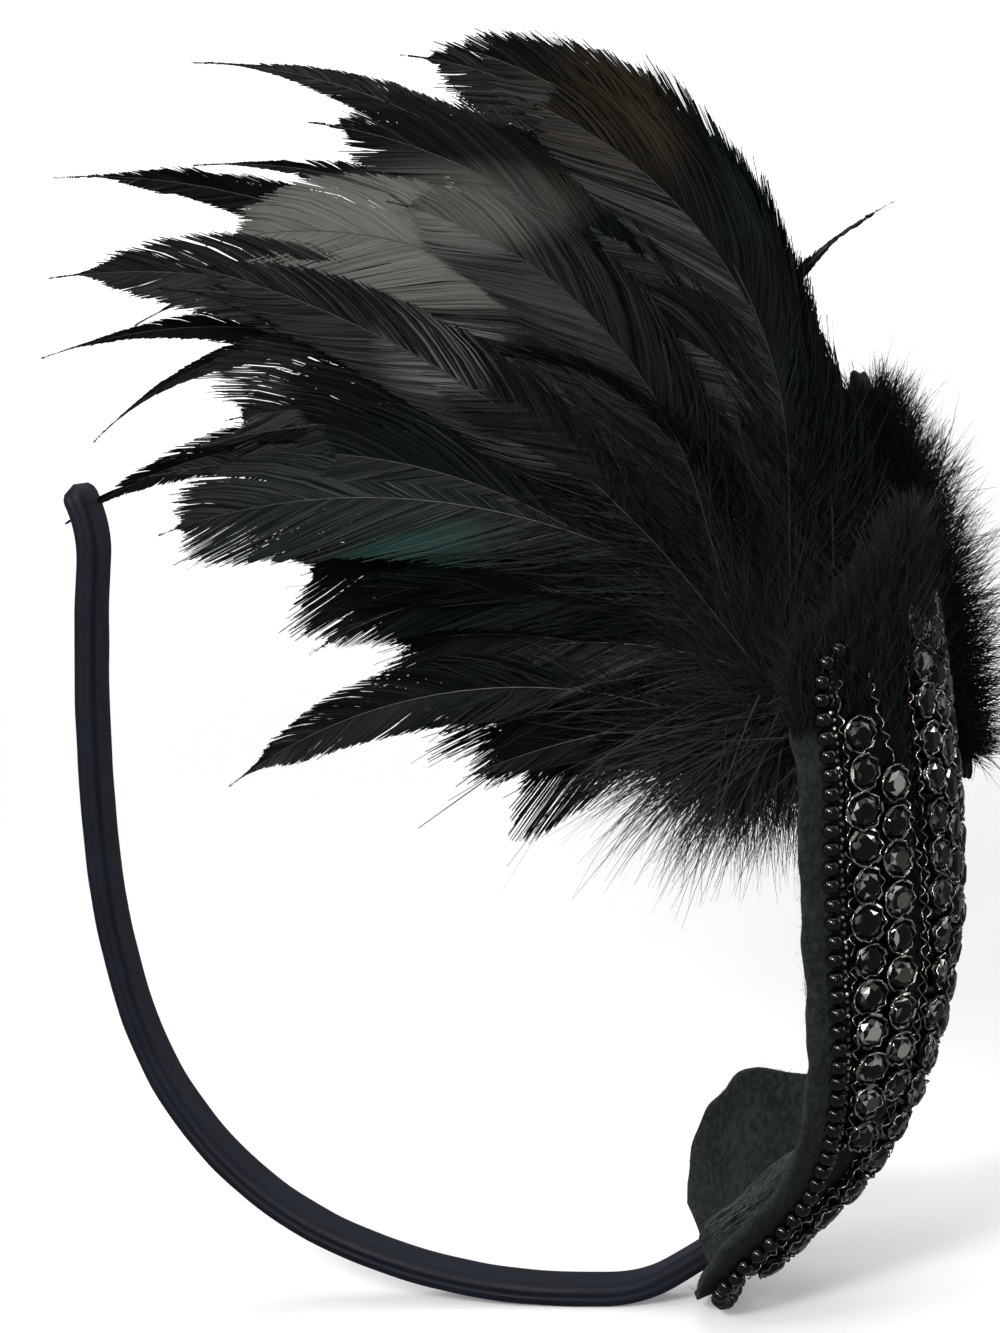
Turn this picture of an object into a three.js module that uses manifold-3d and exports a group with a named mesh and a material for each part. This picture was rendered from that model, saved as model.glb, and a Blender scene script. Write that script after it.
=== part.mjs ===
import * as THREE from 'three';
import { mergeVertices } from 'three/addons/utils/BufferGeometryUtils.js';
import Module from 'manifold-3d';

// Feather headband: a covered band, a jewelled ornament on a felt backing bent over its right arm,
// a plume of long feathers and a puff of down behind the ornament.
// Millimetres, +Z up, +X to the right in the band's plane, +Y away from the viewer.
// The origin is the crown's lowest point. The band stands on it and on the ornament's lower tip.

// Clearance between neighbouring pieces
const GAP = 0.3;

// Band
const BAND_DEPTH = 10;
const BAND_THICKNESS = 4.4;
const BAND_EDGE_RADIUS = 1.5;
const BAND_LEFT_LENGTH = 216;
const BAND_RIGHT_LENGTH = 142;
const BAND_STEP = 9;
const CROWN_FLAT = 6;

// The band's arms from the crown outwards: shares of the arm's length, and turns in degrees
const LEFT_ARM = [
  { share: 0.22, turn: 25 },
  { share: 0.29, turn: 52 },
  { share: 0.15, turn: 13 },
  { share: 0.27, turn: 9 },
  { share: 0.07, turn: -38 },
];
const RIGHT_ARM = [
  { share: 0.1, turn: 29 },
  { share: 0.256, turn: 13 },
  { share: 0.145, turn: 19 },
  { share: 0.278, turn: 24 },
  { share: 0.2, turn: 8 },
  { share: 0.021, turn: 0.5 },
];

// Ornament
const ORNAMENT_START = 21;
const ORNAMENT_LENGTH = 157;
const ORNAMENT_HALF_WIDTH = 38;
const ORNAMENT_BEND_RADIUS = 35;
const FELT_THICKNESS = 1.6;
const RIDGE_HALF_WIDTH = 9;
const RIDGE_START = 5;
const RIDGE_STEPS = 14;

// Sections of the ornament from its lower tip up. near and far are shares of the half width,
// curl is the share of the full bend, roll turns the section round the band in degrees, and
// drop is the share of the distance by which the tip stands off the band to reach the table.
const ORNAMENT_SECTIONS = [
  { along: 0.00, near: 0.16, far: 0.64, curl: 1.7, roll: 0, drop: 1.0 },
  { along: 0.04, near: 0.42, far: 0.81, curl: 1.7, roll: 4, drop: 1.0 },
  { along: 0.07, near: 0.52, far: 0.85, curl: 1.7, roll: 8, drop: 0.7 },
  { along: 0.10, near: 0.58, far: 0.88, curl: 1.7, roll: 10, drop: 0.45 },
  { along: 0.14, near: 0.58, far: 0.90, curl: 1.7, roll: 10, drop: 0.25 },
  { along: 0.19, near: 0.59, far: 0.90, curl: 1.7, roll: 10, drop: 0.1 },
  { along: 0.28, near: 0.73, far: 0.60, curl: 1.5, roll: 10, drop: 0.0 },
  { along: 0.40, near: 0.92, far: 0.64, curl: 1.25, roll: 8, drop: 0.0 },
  { along: 0.52, near: 1.01, far: 0.86, curl: 1.15, roll: 4, drop: 0.0 },
  { along: 0.66, near: 1.02, far: 1.00, curl: 1.05, roll: 0, drop: 0.0 },
  { along: 0.80, near: 1.00, far: 1.00, curl: 1.0, roll: 0, drop: 0.0 },
  { along: 0.88, near: 0.99, far: 0.99, curl: 1.0, roll: 0, drop: 0.0 },
  { along: 0.92, near: 0.92, far: 0.92, curl: 1.0, roll: 0, drop: 0.0 },
  { along: 0.95, near: 0.60, far: 0.60, curl: 1.0, roll: 0, drop: 0.0 },
  { along: 1.00, near: 0.12, far: 0.12, curl: 1.0, roll: 0, drop: 0.0 },
];

// Stones in cup settings, each lobe of them on a thin strip
const STONE_PITCH = 7.1;
const STONE_SIDES = 8;
const STONE_HEIGHT = 2.9;
const STONE_RADIUS = 3.3;
const TABLE_RADIUS = 2;
const STRIP_THICKNESS = 0.8;
const STRIP_STEP = 10;
const STRIP_EASE = 1.3;
const CENTRE_HALF_WIDTH = 14;
const COLUMN_STEP = 6.5;
const STRIP_LIFT = 0.8;
const LOBE_SPLIT = 8;

// String of round beads along the ornament's edge
const BEAD_DIAMETER = 3.4;
const BEAD_SIDES = 8;
const BEAD_STEPS = 60;
const FELT_MARGIN = 3;
const BEADS_TIP = 0.026;
const BEADS_TIP_SKEW = 1.6;
const BEADS_FROM = 0.085;
const BEADS_TO = 0.925;

// Plume: feathers that rise from one root inside the bend and droop to the left
const PLUME_SEAT = { along: 0.806, inside: 19.6, depth: -4 };
const PLUME_HEAD = { radius: 7, stretch: 2.4 };
const FEATHER_LENGTH = 180;
const FEATHER_WIDTH = 18;
const FEATHER_THICKNESS = 1.6;
const FEATHER_STEPS = 6;

// rise is the heading at the root and turn the whole bend to the left, in degrees. reach and breadth
// are shares of a feather's length and width, straight is the share of its length before the bend,
// and lean is the slant away from the viewer in degrees.
const FEATHERS = [
  { rise: 107, turn: 70, straight: 0.30, reach: 1.04, breadth: 0.50, lean: 4 },
  { rise: 100, turn: 72, straight: 0.25, reach: 0.89, breadth: 1.20, lean: 1 },
  { rise: 90, turn: 84, straight: 0.30, reach: 0.92, breadth: 0.80, lean: 3 },
  { rise: 119, turn: 62, straight: 0.25, reach: 1.06, breadth: 0.60, lean: -1 },
  { rise: 111, turn: 72, straight: 0.30, reach: 0.96, breadth: 0.60, lean: 3 },
  { rise: 120, turn: 66, straight: 0.20, reach: 0.99, breadth: 1.00, lean: -3 },
  { rise: 124, turn: 74, straight: 0.20, reach: 1.01, breadth: 0.60, lean: 3 },
  { rise: 122, turn: 100, straight: 0.25, reach: 1.01, breadth: 0.45, lean: 6 },
  { rise: 130, turn: 64, straight: 0.10, reach: 0.83, breadth: 0.60, lean: 0 },
  { rise: 129, turn: 70, straight: 0.10, reach: 0.76, breadth: 1.20, lean: -5 },
  { rise: 150, turn: 66, straight: 0.00, reach: 0.64, breadth: 0.70, lean: -8 },
  { rise: 152, turn: 40, straight: 0.00, reach: 0.48, breadth: 0.60, lean: 9 },
  { rise: 171, turn: 30, straight: 0.00, reach: 0.37, breadth: 0.50, lean: -5 },
  { rise: 100, turn: -62, straight: 0.30, reach: 0.59, breadth: 0.35, lean: 5 },
  { rise: 87, turn: 78, straight: 0.30, reach: 0.88, breadth: 1.10, lean: -1 },
  { rise: 88, turn: 64, straight: 0.30, reach: 0.83, breadth: 1.10, lean: 4 },
  { rise: 85, turn: 48, straight: 0.25, reach: 0.75, breadth: 1.10, lean: 1 },
  { rise: 85, turn: 34, straight: 0.20, reach: 0.65, breadth: 1.00, lean: 7 },
  { rise: 85, turn: 10, straight: 0.00, reach: 0.52, breadth: 0.90, lean: -1 },
  { rise: 110, turn: 76, straight: 0.30, reach: 0.90, breadth: 1.60, lean: 1 },
  { rise: 122, turn: 70, straight: 0.20, reach: 0.75, breadth: 1.60, lean: -1 },
  { rise: 134, turn: 64, straight: 0.10, reach: 0.61, breadth: 1.60, lean: 4 },
  { rise: 141, turn: 46, straight: 0.00, reach: 0.43, breadth: 1.50, lean: -7 },
  { rise: 159, turn: 36, straight: 0.00, reach: 0.34, breadth: 1.30, lean: 6 },
  { rise: 92, turn: 68, straight: 0.20, reach: 0.81, breadth: 1.30, lean: 3 },
];

// Down that fans out below the plume's root
const FRINGE_LOCKS = 9;
const FRINGE_FROM = 184;
const FRINGE_TO = 262;
const FRINGE_LENGTH = 46;
const LOCK_WIDTH = 7;

// Puff of down along the ornament's far edge
const PUFF_LENGTH = 88;
const PUFF_RADIUS = 4;
const PUFF_REACH = 16;
const PUFF_RINGS = 6;
const PUFF_LOCKS = 5;
const PUFF_SEAT = { along: 0.921, inside: 4.4, depth: 41 };
const PUFF_SLANT = -11;

const rad = THREE.MathUtils.degToRad;
const wasm = await Module();
wasm.setup();

// A closed geometry as a solid that can be joined and cut
function solidOf(geometry) {
  const bare = new THREE.BufferGeometry();
  bare.setAttribute('position', geometry.getAttribute('position'));
  bare.setIndex(geometry.getIndex());
  const merged = mergeVertices(bare, 1e-4);
  return new wasm.Manifold(new wasm.Mesh({
    numProp: 3,
    vertProperties: new Float32Array(merged.getAttribute('position').array),
    triVerts: new Uint32Array(merged.getIndex().array),
  }));
}

function geometryOf(solid) {
  const { vertProperties, triVerts } = solid.getMesh();
  const geometry = new THREE.BufferGeometry();
  geometry.setAttribute('position', new THREE.BufferAttribute(vertProperties, 3));
  geometry.setIndex(new THREE.BufferAttribute(triVerts, 1));
  return geometry;
}

// A closed skin over rings of equally many points, each end zipped shut
function loft(rings) {
  const count = rings[0].length;
  const index = [];
  const quad = (a, b, c, d) => index.push(a, b, c, a, c, d);
  for (let row = 0; row + 1 < rings.length; row += 1) {
    for (let i = 0; i < count; i += 1) {
      const next = (i + 1) % count;
      const base = row * count;
      quad(base + i, base + next, base + count + next, base + count + i);
    }
  }
  const last = (rings.length - 1) * count;
  for (let i = 0; i + 1 < count / 2; i += 1) {
    quad(i, count - 1 - i, count - 2 - i, i + 1);
    quad(last + i + 1, last + count - 2 - i, last + count - 1 - i, last + i);
  }
  const corners = rings.flat();
  const volume = index.reduce((sum, corner, i) => (i % 3 ? sum : sum
    + corners[corner].dot(corners[index[i + 1]].clone().cross(corners[index[i + 2]]))), 0);
  if (volume < 0) index.reverse();
  const geometry = new THREE.BufferGeometry();
  geometry.setAttribute('position', new THREE.Float32BufferAttribute(corners.flatMap((p) => [...p]), 3));
  geometry.setIndex(index);
  return geometry;
}

// Place and heading after a distance along a chain of arcs that starts level
function walk(arm, length, distance) {
  let x = 0;
  let z = 0;
  let heading = 0;
  let left = distance;
  for (const { share, turn } of arm) {
    const used = Math.min(left, share * length);
    const angle = used > 0 ? rad(turn) * used / (share * length) : 0;
    const chord = Math.abs(angle) < 1e-9 ? used : used * Math.sin(angle / 2) / (angle / 2);
    x += chord * Math.cos(heading + angle / 2);
    z += chord * Math.sin(heading + angle / 2);
    heading += angle;
    left -= used;
  }
  return { x: x + left * Math.cos(heading), z: z + left * Math.sin(heading), heading };
}

// The band's middle line: negative distances run up the left arm, positive ones up the right
function bandAt(distance) {
  const side = distance < 0 ? -1 : 1;
  const flat = Math.min(Math.abs(distance), CROWN_FLAT / 2);
  const past = Math.abs(distance) - flat;
  const arm = side < 0 ? LEFT_ARM : RIGHT_ARM;
  const { x, z, heading } = walk(arm, side < 0 ? BAND_LEFT_LENGTH : BAND_RIGHT_LENGTH, past);
  const turn = side * heading;
  return {
    place: new THREE.Vector3(side * (flat + x), 0, z + BAND_THICKNESS / 2),
    out: new THREE.Vector3(Math.sin(turn), 0, -Math.cos(turn)),
  };
}

// A point from a share of the ornament's length, a distance inside the band and a depth
function insideBand({ along, inside, depth }) {
  const { place, out } = bandAt(ORNAMENT_START + along * ORNAMENT_LENGTH);
  return new THREE.Vector3(0, depth, 0).addScaledVector(out, -inside).add(place);
}

// The band's rounded section, grown by a clearance, as pairs of depth and height
function bandRing(grow) {
  const halfDepth = BAND_DEPTH / 2 - BAND_EDGE_RADIUS;
  const halfHeight = BAND_THICKNESS / 2 - BAND_EDGE_RADIUS;
  const radius = BAND_EDGE_RADIUS + grow;
  const corners = [[1, 1], [-1, 1], [-1, -1], [1, -1]];
  return corners.flatMap(([sideY, sideZ], corner) => [0, 0.5, 1].map((part) => {
    const angle = (corner + part) * Math.PI / 2;
    return [sideY * halfDepth + radius * Math.cos(angle), sideZ * halfHeight + radius * Math.sin(angle)];
  }));
}

function bandSolid(grow, stations) {
  return loft(stations.map(([distance, size]) => {
    const { place, out } = bandAt(distance);
    return bandRing(grow).map(([y, z]) => new THREE.Vector3(0, y * size, 0)
      .addScaledVector(out, -z * size).add(place));
  }));
}

// Stations of the whole band, with rounded ends and a level stretch at the crown
function bandStations(lengthen) {
  const ends = [[0, 0.55], [0.8, 0.85], [2.2, 1]];
  const left = BAND_LEFT_LENGTH + CROWN_FLAT / 2 + lengthen;
  const right = BAND_RIGHT_LENGTH + CROWN_FLAT / 2 + lengthen;
  const leftSteps = Math.round(BAND_LEFT_LENGTH / BAND_STEP);
  const rightSteps = Math.round(BAND_RIGHT_LENGTH / BAND_STEP);
  const stations = ends.map(([inset, size]) => [inset - left, size]);
  for (let i = leftSteps - 1; i >= 0; i -= 1) {
    stations.push([-(CROWN_FLAT / 2 + i * BAND_LEFT_LENGTH / leftSteps), 1]);
  }
  for (let i = 0; i < rightSteps; i += 1) {
    stations.push([CROWN_FLAT / 2 + i * BAND_RIGHT_LENGTH / rightSteps, 1]);
  }
  for (const [inset, size] of ends.toReversed()) stations.push([right - inset, size]);
  return stations;
}

const sectionColumns = Object.fromEntries(['near', 'far', 'curl', 'roll', 'drop'].map((name) => [name,
  new THREE.CubicInterpolant(ORNAMENT_SECTIONS.map((row) => row.along),
    ORNAMENT_SECTIONS.map((row) => row[name]), 1)]));
const section = (name, along) => sectionColumns[name].evaluate(THREE.MathUtils.clamp(along, 0, 1))[0];
const nearEdge = (along) => -section('near', along) * ORNAMENT_HALF_WIDTH;
const farEdge = (along) => section('far', along) * ORNAMENT_HALF_WIDTH;

// How far the ornament's tip stands off the band, found below from the bead string that rests on the table
let tipDrop = 0;

// A point of the bent ornament: share of its length, distance across it and height over the felt's middle
function onOrnament(along, across, height) {
  const { place, out } = bandAt(ORNAMENT_START + along * ORNAMENT_LENGTH);
  const radius = ORNAMENT_BEND_RADIUS / section('curl', along);
  const roll = rad(section('roll', along));
  const seat = BAND_THICKNESS / 2 + GAP + FELT_THICKNESS / 2 + BAND_DEPTH / 2 * Math.sin(roll)
    + tipDrop * section('drop', along);
  const angle = across / radius;
  const sideways = (radius + height) * Math.sin(angle);
  const outwards = (radius + height) * Math.cos(angle) - radius;
  const y = sideways * Math.cos(roll) + outwards * Math.sin(roll);
  const n = outwards * Math.cos(roll) - sideways * Math.sin(roll) + seat;
  return new THREE.Vector3(0, y, 0).addScaledVector(out, n).add(place);
}

// A bent slab of the ornament between two edges and two heights
function slab(alongs, steps, nearSide, farSide, low, high) {
  return loft(alongs.map((along) => {
    const a = nearSide(along);
    const b = farSide(along);
    const across = Array.from({ length: steps + 1 }, (_, i) => a + (b - a) * i / steps);
    return [
      ...across.map((q) => onOrnament(along, q, high)),
      ...across.toReversed().map((q) => onOrnament(along, q, low)),
    ];
  }));
}

const spread = (from, to, steps) => Array.from({ length: steps + 1 }, (_, i) => from + (to - from) * i / steps);

// The felt ridge that wraps the band's arm, from near the tip to just past the arm's end
function ridgeSolid(grow) {
  const end = BAND_RIGHT_LENGTH + CROWN_FLAT / 2 + 2 * FELT_THICKNESS - ORNAMENT_START;
  const top = BAND_THICKNESS / 2 + GAP + FELT_THICKNESS + grow;
  const crest = BAND_DEPTH / 2 + GAP + FELT_THICKNESS / 2 + grow;
  const foot = RIDGE_HALF_WIDTH + grow;
  return solidOf(loft(spread(RIDGE_START - grow, end + grow, RIDGE_STEPS).map((distance) => {
    const along = distance / ORNAMENT_LENGTH;
    const inner = (depth, inside) => insideBand({ along, inside, depth });
    return [
      onOrnament(along, -foot, 0),
      onOrnament(along, 0, 0),
      onOrnament(along, foot, 0),
      inner(crest, top * 0.5),
      inner(crest * 0.7, top),
      inner(0, top * 1.08),
      inner(-crest * 0.7, top),
      inner(-crest, top * 0.5),
    ];
  })));
}

// The felt backing: the bent sheet and its ridge, with the tunnel that holds the band
function feltGeometry() {
  const half = FELT_THICKNESS / 2;
  const alongs = [0, 0.015, ...spread(0.035, 0.185, 8), ...spread(0.22, 1, 16)];
  const sheet = slab(alongs, 8, nearEdge, farEdge, -half, half);
  const tunnel = bandSolid(GAP, bandStations(GAP));
  return geometryOf(largest(solidOf(sheet).add(ridgeSolid(0)).subtract(solidOf(tunnel))));
}

// One faceted stone in its cup, standing on a point of the ornament
function stoneSolid(along, across) {
  const base = FELT_THICKNESS / 2 + STRIP_LIFT + STRIP_THICKNESS / 6;
  const profile = [
    [0, 0],
    [STONE_RADIUS, 0],
    [TABLE_RADIUS, STONE_HEIGHT],
    [0, STONE_HEIGHT],
  ].map(([x, y]) => new THREE.Vector2(x, y));
  const stone = new THREE.LatheGeometry(profile, STONE_SIDES);
  const foot = onOrnament(along, across, base);
  const up = onOrnament(along, across, base + 1).sub(foot).normalize();
  stone.applyQuaternion(new THREE.Quaternion().setFromUnitVectors(new THREE.Vector3(0, 1, 0), up));
  stone.translate(foot.x, foot.y, foot.z);
  return solidOf(stone);
}

// A lobe of stones on its strip, in columns that are staggered by half a pitch.
// A column's place across is measured from the line that the lobe follows.
function lobeGeometry(from, to, steps, nearSide, farSide, columns) {
  const low = FELT_THICKNESS / 2 + STRIP_LIFT;
  const lengths = spread(0, 1, Math.round((to - from) * ORNAMENT_LENGTH / STRIP_STEP))
    .map((share) => from + (to - from) * share ** STRIP_EASE);
  const strip = slab(lengths, steps, nearSide, farSide, low, low + STRIP_THICKNESS);
  const pitch = STONE_PITCH / ORNAMENT_LENGTH;
  const stones = [];
  columns.forEach((column, index) => {
    for (let along = from + pitch * (0.6 + index % 2 / 2); along < to - pitch / 2; along += pitch) {
      const across = column(along);
      const room = 0.8 * STONE_RADIUS;
      const fits = across - room > nearSide(along) && across + room < farSide(along);
      if (fits) stones.push(stoneSolid(along, across));
    }
  });
  return geometryOf(stones.reduce((field, stone) => field.add(stone), solidOf(strip)));
}

const beadLine = (edge, along) => edge(along) - Math.sign(edge(along)) * (FELT_MARGIN + BEAD_DIAMETER / 2);

// Middle line of the bead string from the near lobe's top round the tip to the far lobe's top
function beadPath() {
  const height = FELT_THICKNESS / 2 + 2 * GAP + BEAD_DIAMETER / 2;
  const side = [...spread(BEADS_TO, 0.2, 12), ...spread(0.17, BEADS_FROM, 4)];
  const low = beadLine(nearEdge, BEADS_FROM);
  const high = beadLine(farEdge, BEADS_FROM);
  return new THREE.CatmullRomCurve3([
    ...side.map((along) => onOrnament(along, beadLine(nearEdge, along), height)),
    ...spread(-0.8, 0.8, 8).map((part) => onOrnament(BEADS_TIP + (BEADS_FROM - BEADS_TIP) * part ** 2,
      low + (high - low) * ((1 + part) / 2) ** BEADS_TIP_SKEW, height)),
    ...side.toReversed().map((along) => onOrnament(along, beadLine(farEdge, along), height)),
  ]);
}

// The tip is let down until its lowest bead touches the table
for (let step = 0; step < 12; step += 1) {
  tipDrop += Math.min(...beadPath().getPoints(BEAD_STEPS * 4).map((point) => point.z)) - BEAD_DIAMETER / 2;
}

function beadGeometry() {
  const round = new THREE.Shape(new THREE.Path().absarc(0, 0, BEAD_DIAMETER / 2, 0, 2 * Math.PI)
    .getSpacedPoints(BEAD_SIDES));
  return new THREE.ExtrudeGeometry(round, { steps: BEAD_STEPS, extrudePath: beadPath(), bevelEnabled: false });
}

// A tapering blade of lens section along a bent path: widths and places come from a share of its length
function bladeSolid(root, length, arc, rise, lean, width, thickness, steps) {
  return solidOf(loft(spread(0, 1, steps).map((share) => {
    const { x, z, heading } = walk(arc, length, share * length);
    const angle = rad(rise);
    const across = new THREE.Vector3(-Math.sin(heading + angle), 0, Math.cos(heading + angle));
    const middle = new THREE.Vector3(x * Math.cos(angle) - z * Math.sin(angle),
      length * share * Math.sin(rad(lean)), x * Math.sin(angle) + z * Math.cos(angle)).add(root);
    const size = 0.12 + 0.88 * Math.sin(Math.PI * Math.min(1, 0.06 + share ** 0.9)) ** 0.8;
    const half = share === 1 ? 0.03 : size / 2;
    return [
      middle.clone().addScaledVector(across, width * half),
      middle.clone().add(new THREE.Vector3(0, thickness * half, 0)),
      middle.clone().addScaledVector(across, -width * half),
      middle.clone().add(new THREE.Vector3(0, -thickness * half, 0)),
    ];
  })));
}

// What the soft pieces stay clear of: the backing with what lies on it, and the band in its ridge
function clearance() {
  const margin = 2 * GAP;
  const top = FELT_THICKNESS / 2 + STRIP_LIFT + STRIP_THICKNESS + STONE_HEIGHT + margin;
  const wide = (edge) => (along) => edge(along) + Math.sign(edge(along)) * margin;
  const inner = (edge) => (along) => edge(along) - Math.sign(edge(along)) * FELT_MARGIN;
  const felt = FELT_THICKNESS / 2 + margin;
  const sheet = slab(spread(0, 1, 24), 12, wide(nearEdge), wide(farEdge), -felt, felt);
  const field = slab(spread(0.05, 0.98, 24), 12, inner(nearEdge), inner(farEdge), 0, top);
  return solidOf(sheet).add(solidOf(field)).add(ridgeSolid(1.5 * GAP));
}

function plumeGeometry(taken) {
  const root = insideBand(PLUME_SEAT);
  const head = new THREE.SphereGeometry(PLUME_HEAD.radius, 12, 8);
  head.scale(PLUME_HEAD.stretch, 1, 1);
  head.translate(root.x, root.y, root.z);
  const blades = FEATHERS.map(({ rise, turn, straight, reach, breadth, lean }) => bladeSolid(root,
    reach * FEATHER_LENGTH, [{ share: straight, turn: 0 }, { share: 1 - straight, turn }], rise, lean,
    breadth * FEATHER_WIDTH, FEATHER_THICKNESS, FEATHER_STEPS));
  const locks = spread(FRINGE_FROM, FRINGE_TO, FRINGE_LOCKS - 1).map((rise, index) => bladeSolid(root,
    FRINGE_LENGTH * (1 - 0.035 * index), [{ share: 1, turn: 12 }], rise, index % 3 * 9 - 9,
    LOCK_WIDTH, LOCK_WIDTH / 2, 4));
  const whole = [...blades, ...locks].reduce((plume, blade) => plume.add(blade), solidOf(head));
  return geometryOf(largest(whole.subtract(taken)));
}

// The puff: a slim core with rings of locks that spread from it
function puffGeometry(taken) {
  const core = new THREE.SphereGeometry(1, 10, 8);
  core.scale(PUFF_RADIUS, PUFF_RADIUS, PUFF_LENGTH / 2);
  const locks = [];
  for (let ring = 0; ring < PUFF_RINGS; ring += 1) {
    const share = (ring + 0.5) / PUFF_RINGS * 2 - 1;
    for (let lock = 0; lock < PUFF_LOCKS; lock += 1) {
      const turn = (lock + ring % 2 / 2) / PUFF_LOCKS * 2 * Math.PI;
      const reach = PUFF_REACH * Math.sqrt(1.1 - share * share * 0.6);
      const spike = new THREE.ConeGeometry(LOCK_WIDTH / 2, reach, 4);
      spike.translate(0, reach / 2, 0);
      const aim = new THREE.Vector3(Math.cos(turn), Math.sin(turn), share * 1.3).normalize();
      spike.applyQuaternion(new THREE.Quaternion().setFromUnitVectors(new THREE.Vector3(0, 1, 0), aim));
      spike.translate(0, 0, share * PUFF_LENGTH * 0.4);
      locks.push(spike);
    }
  }
  const place = new THREE.Matrix4().makeRotationY(rad(PUFF_SLANT)).setPosition(insideBand(PUFF_SEAT));
  const solids = [core, ...locks].map((piece) => solidOf(piece.applyMatrix4(place)));
  const whole = solids.slice(1).reduce((puff, lock) => puff.add(lock), solids[0]);
  return geometryOf(largest(whole.subtract(taken)));
}

// The largest body of a solid that a cut may have split
function largest(solid) {
  const bodies = solid.decompose();
  return bodies.reduce((best, body) => (body.volume() > best.volume() ? body : best));
}

const group = new THREE.Group();
function addPiece(name, geometry, color, roughness, metalness) {
  const mesh = new THREE.Mesh(geometry, new THREE.MeshStandardMaterial({ color, roughness, metalness }));
  mesh.name = name;
  group.add(mesh);
}

const beadRoom = FELT_MARGIN + BEAD_DIAMETER + 4 * GAP;
const nearLimit = (along) => nearEdge(along) + beadRoom;
const farLimit = (along) => farEdge(along) - beadRoom;
const centreNear = (along) => Math.max(nearLimit(along), -CENTRE_HALF_WIDTH);
const centreFar = (along) => Math.min(farLimit(along), CENTRE_HALF_WIDTH);
const split = (along) => CENTRE_HALF_WIDTH + 2 * GAP + LOBE_SPLIT * THREE.MathUtils.smoothstep(along, 0.62, 0.9);
const centreColumns = [-1.5, -0.5, 0.5, 1.5].map((column) => () => column * COLUMN_STEP);
const lobeColumns = (limit, side) => [0, 1].map((column) => (
  (along) => limit(along) - side * (STONE_RADIUS + column * COLUMN_STEP)));

addPiece('headband', bandSolid(0, bandStations(0)), 0x12141c, 0.7, 0);
addPiece('felt_backing', feltGeometry(), 0x1c2022, 0.95, 0);
const stones = [0x0b0b0d, 0.15, 0.3];
addPiece('centre_stones', lobeGeometry(0.085, 0.97, 3, centreNear, centreFar, centreColumns), ...stones);
addPiece('near_lobe_stones',
  lobeGeometry(0.3, 0.89, 2, nearLimit, (along) => -split(along), lobeColumns(nearLimit, -1)), ...stones);
addPiece('far_lobe_stones',
  lobeGeometry(0.42, 0.89, 2, split, farLimit, lobeColumns(farLimit, 1)), ...stones);
addPiece('bead_edging', beadGeometry(), 0x08080a, 0.1, 0);

const taken = clearance();
addPiece('feather_plume', plumeGeometry(taken), 0x0c0f0e, 0.6, 0);
addPiece('down_puff', puffGeometry(taken), 0x0a0a0b, 0.9, 0);

export default group;
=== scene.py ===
"""Feather headband: covered band, jewelled ornament on felt, plume of feathers and puff of down.
Metres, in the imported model's frame. Tables and shape sizes are in millimetres and degrees."""
import math

import bmesh
import bpy
import numpy as np
from mathutils import Matrix, Vector


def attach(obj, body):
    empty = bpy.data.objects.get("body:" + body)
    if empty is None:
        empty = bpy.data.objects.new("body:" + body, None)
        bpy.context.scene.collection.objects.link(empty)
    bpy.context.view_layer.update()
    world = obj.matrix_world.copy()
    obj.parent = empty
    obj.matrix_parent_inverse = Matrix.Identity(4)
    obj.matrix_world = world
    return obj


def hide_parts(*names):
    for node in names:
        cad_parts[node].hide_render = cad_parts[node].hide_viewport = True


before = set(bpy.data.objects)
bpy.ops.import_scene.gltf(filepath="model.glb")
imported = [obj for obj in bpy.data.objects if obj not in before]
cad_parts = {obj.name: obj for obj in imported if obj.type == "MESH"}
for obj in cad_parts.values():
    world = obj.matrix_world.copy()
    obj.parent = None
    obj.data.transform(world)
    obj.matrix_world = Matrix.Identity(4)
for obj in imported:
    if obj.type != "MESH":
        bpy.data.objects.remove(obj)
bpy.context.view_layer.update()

bl_info = {
    "name": "Feather Headband",
    "version": (1, 0, 0),
    "blender": (4, 5, 0),
    "location": "3D View > Sidebar > Headband",
    "description": "Builds the band, ornament, plume and down of a feather headband",
    "category": "Object",
}

MM = 0.001
GAP = 0.3

# Band: a rounded strip along two chains of arcs, as (share of the arm's length, turn in degrees)
BAND_DEPTH = 10
BAND_THICKNESS = 4.4
BAND_EDGE_RADIUS = 1.5
BAND_LEFT_LENGTH = 216
BAND_RIGHT_LENGTH = 142
CROWN_FLAT = 6
BAND_END = 3
LEFT_ARM = ((0.22, 25), (0.29, 52), (0.15, 13), (0.27, 9), (0.07, -38))
RIGHT_ARM = ((0.1, 29), (0.256, 13), (0.145, 19), (0.278, 24), (0.2, 8), (0.021, 0.5))

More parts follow.
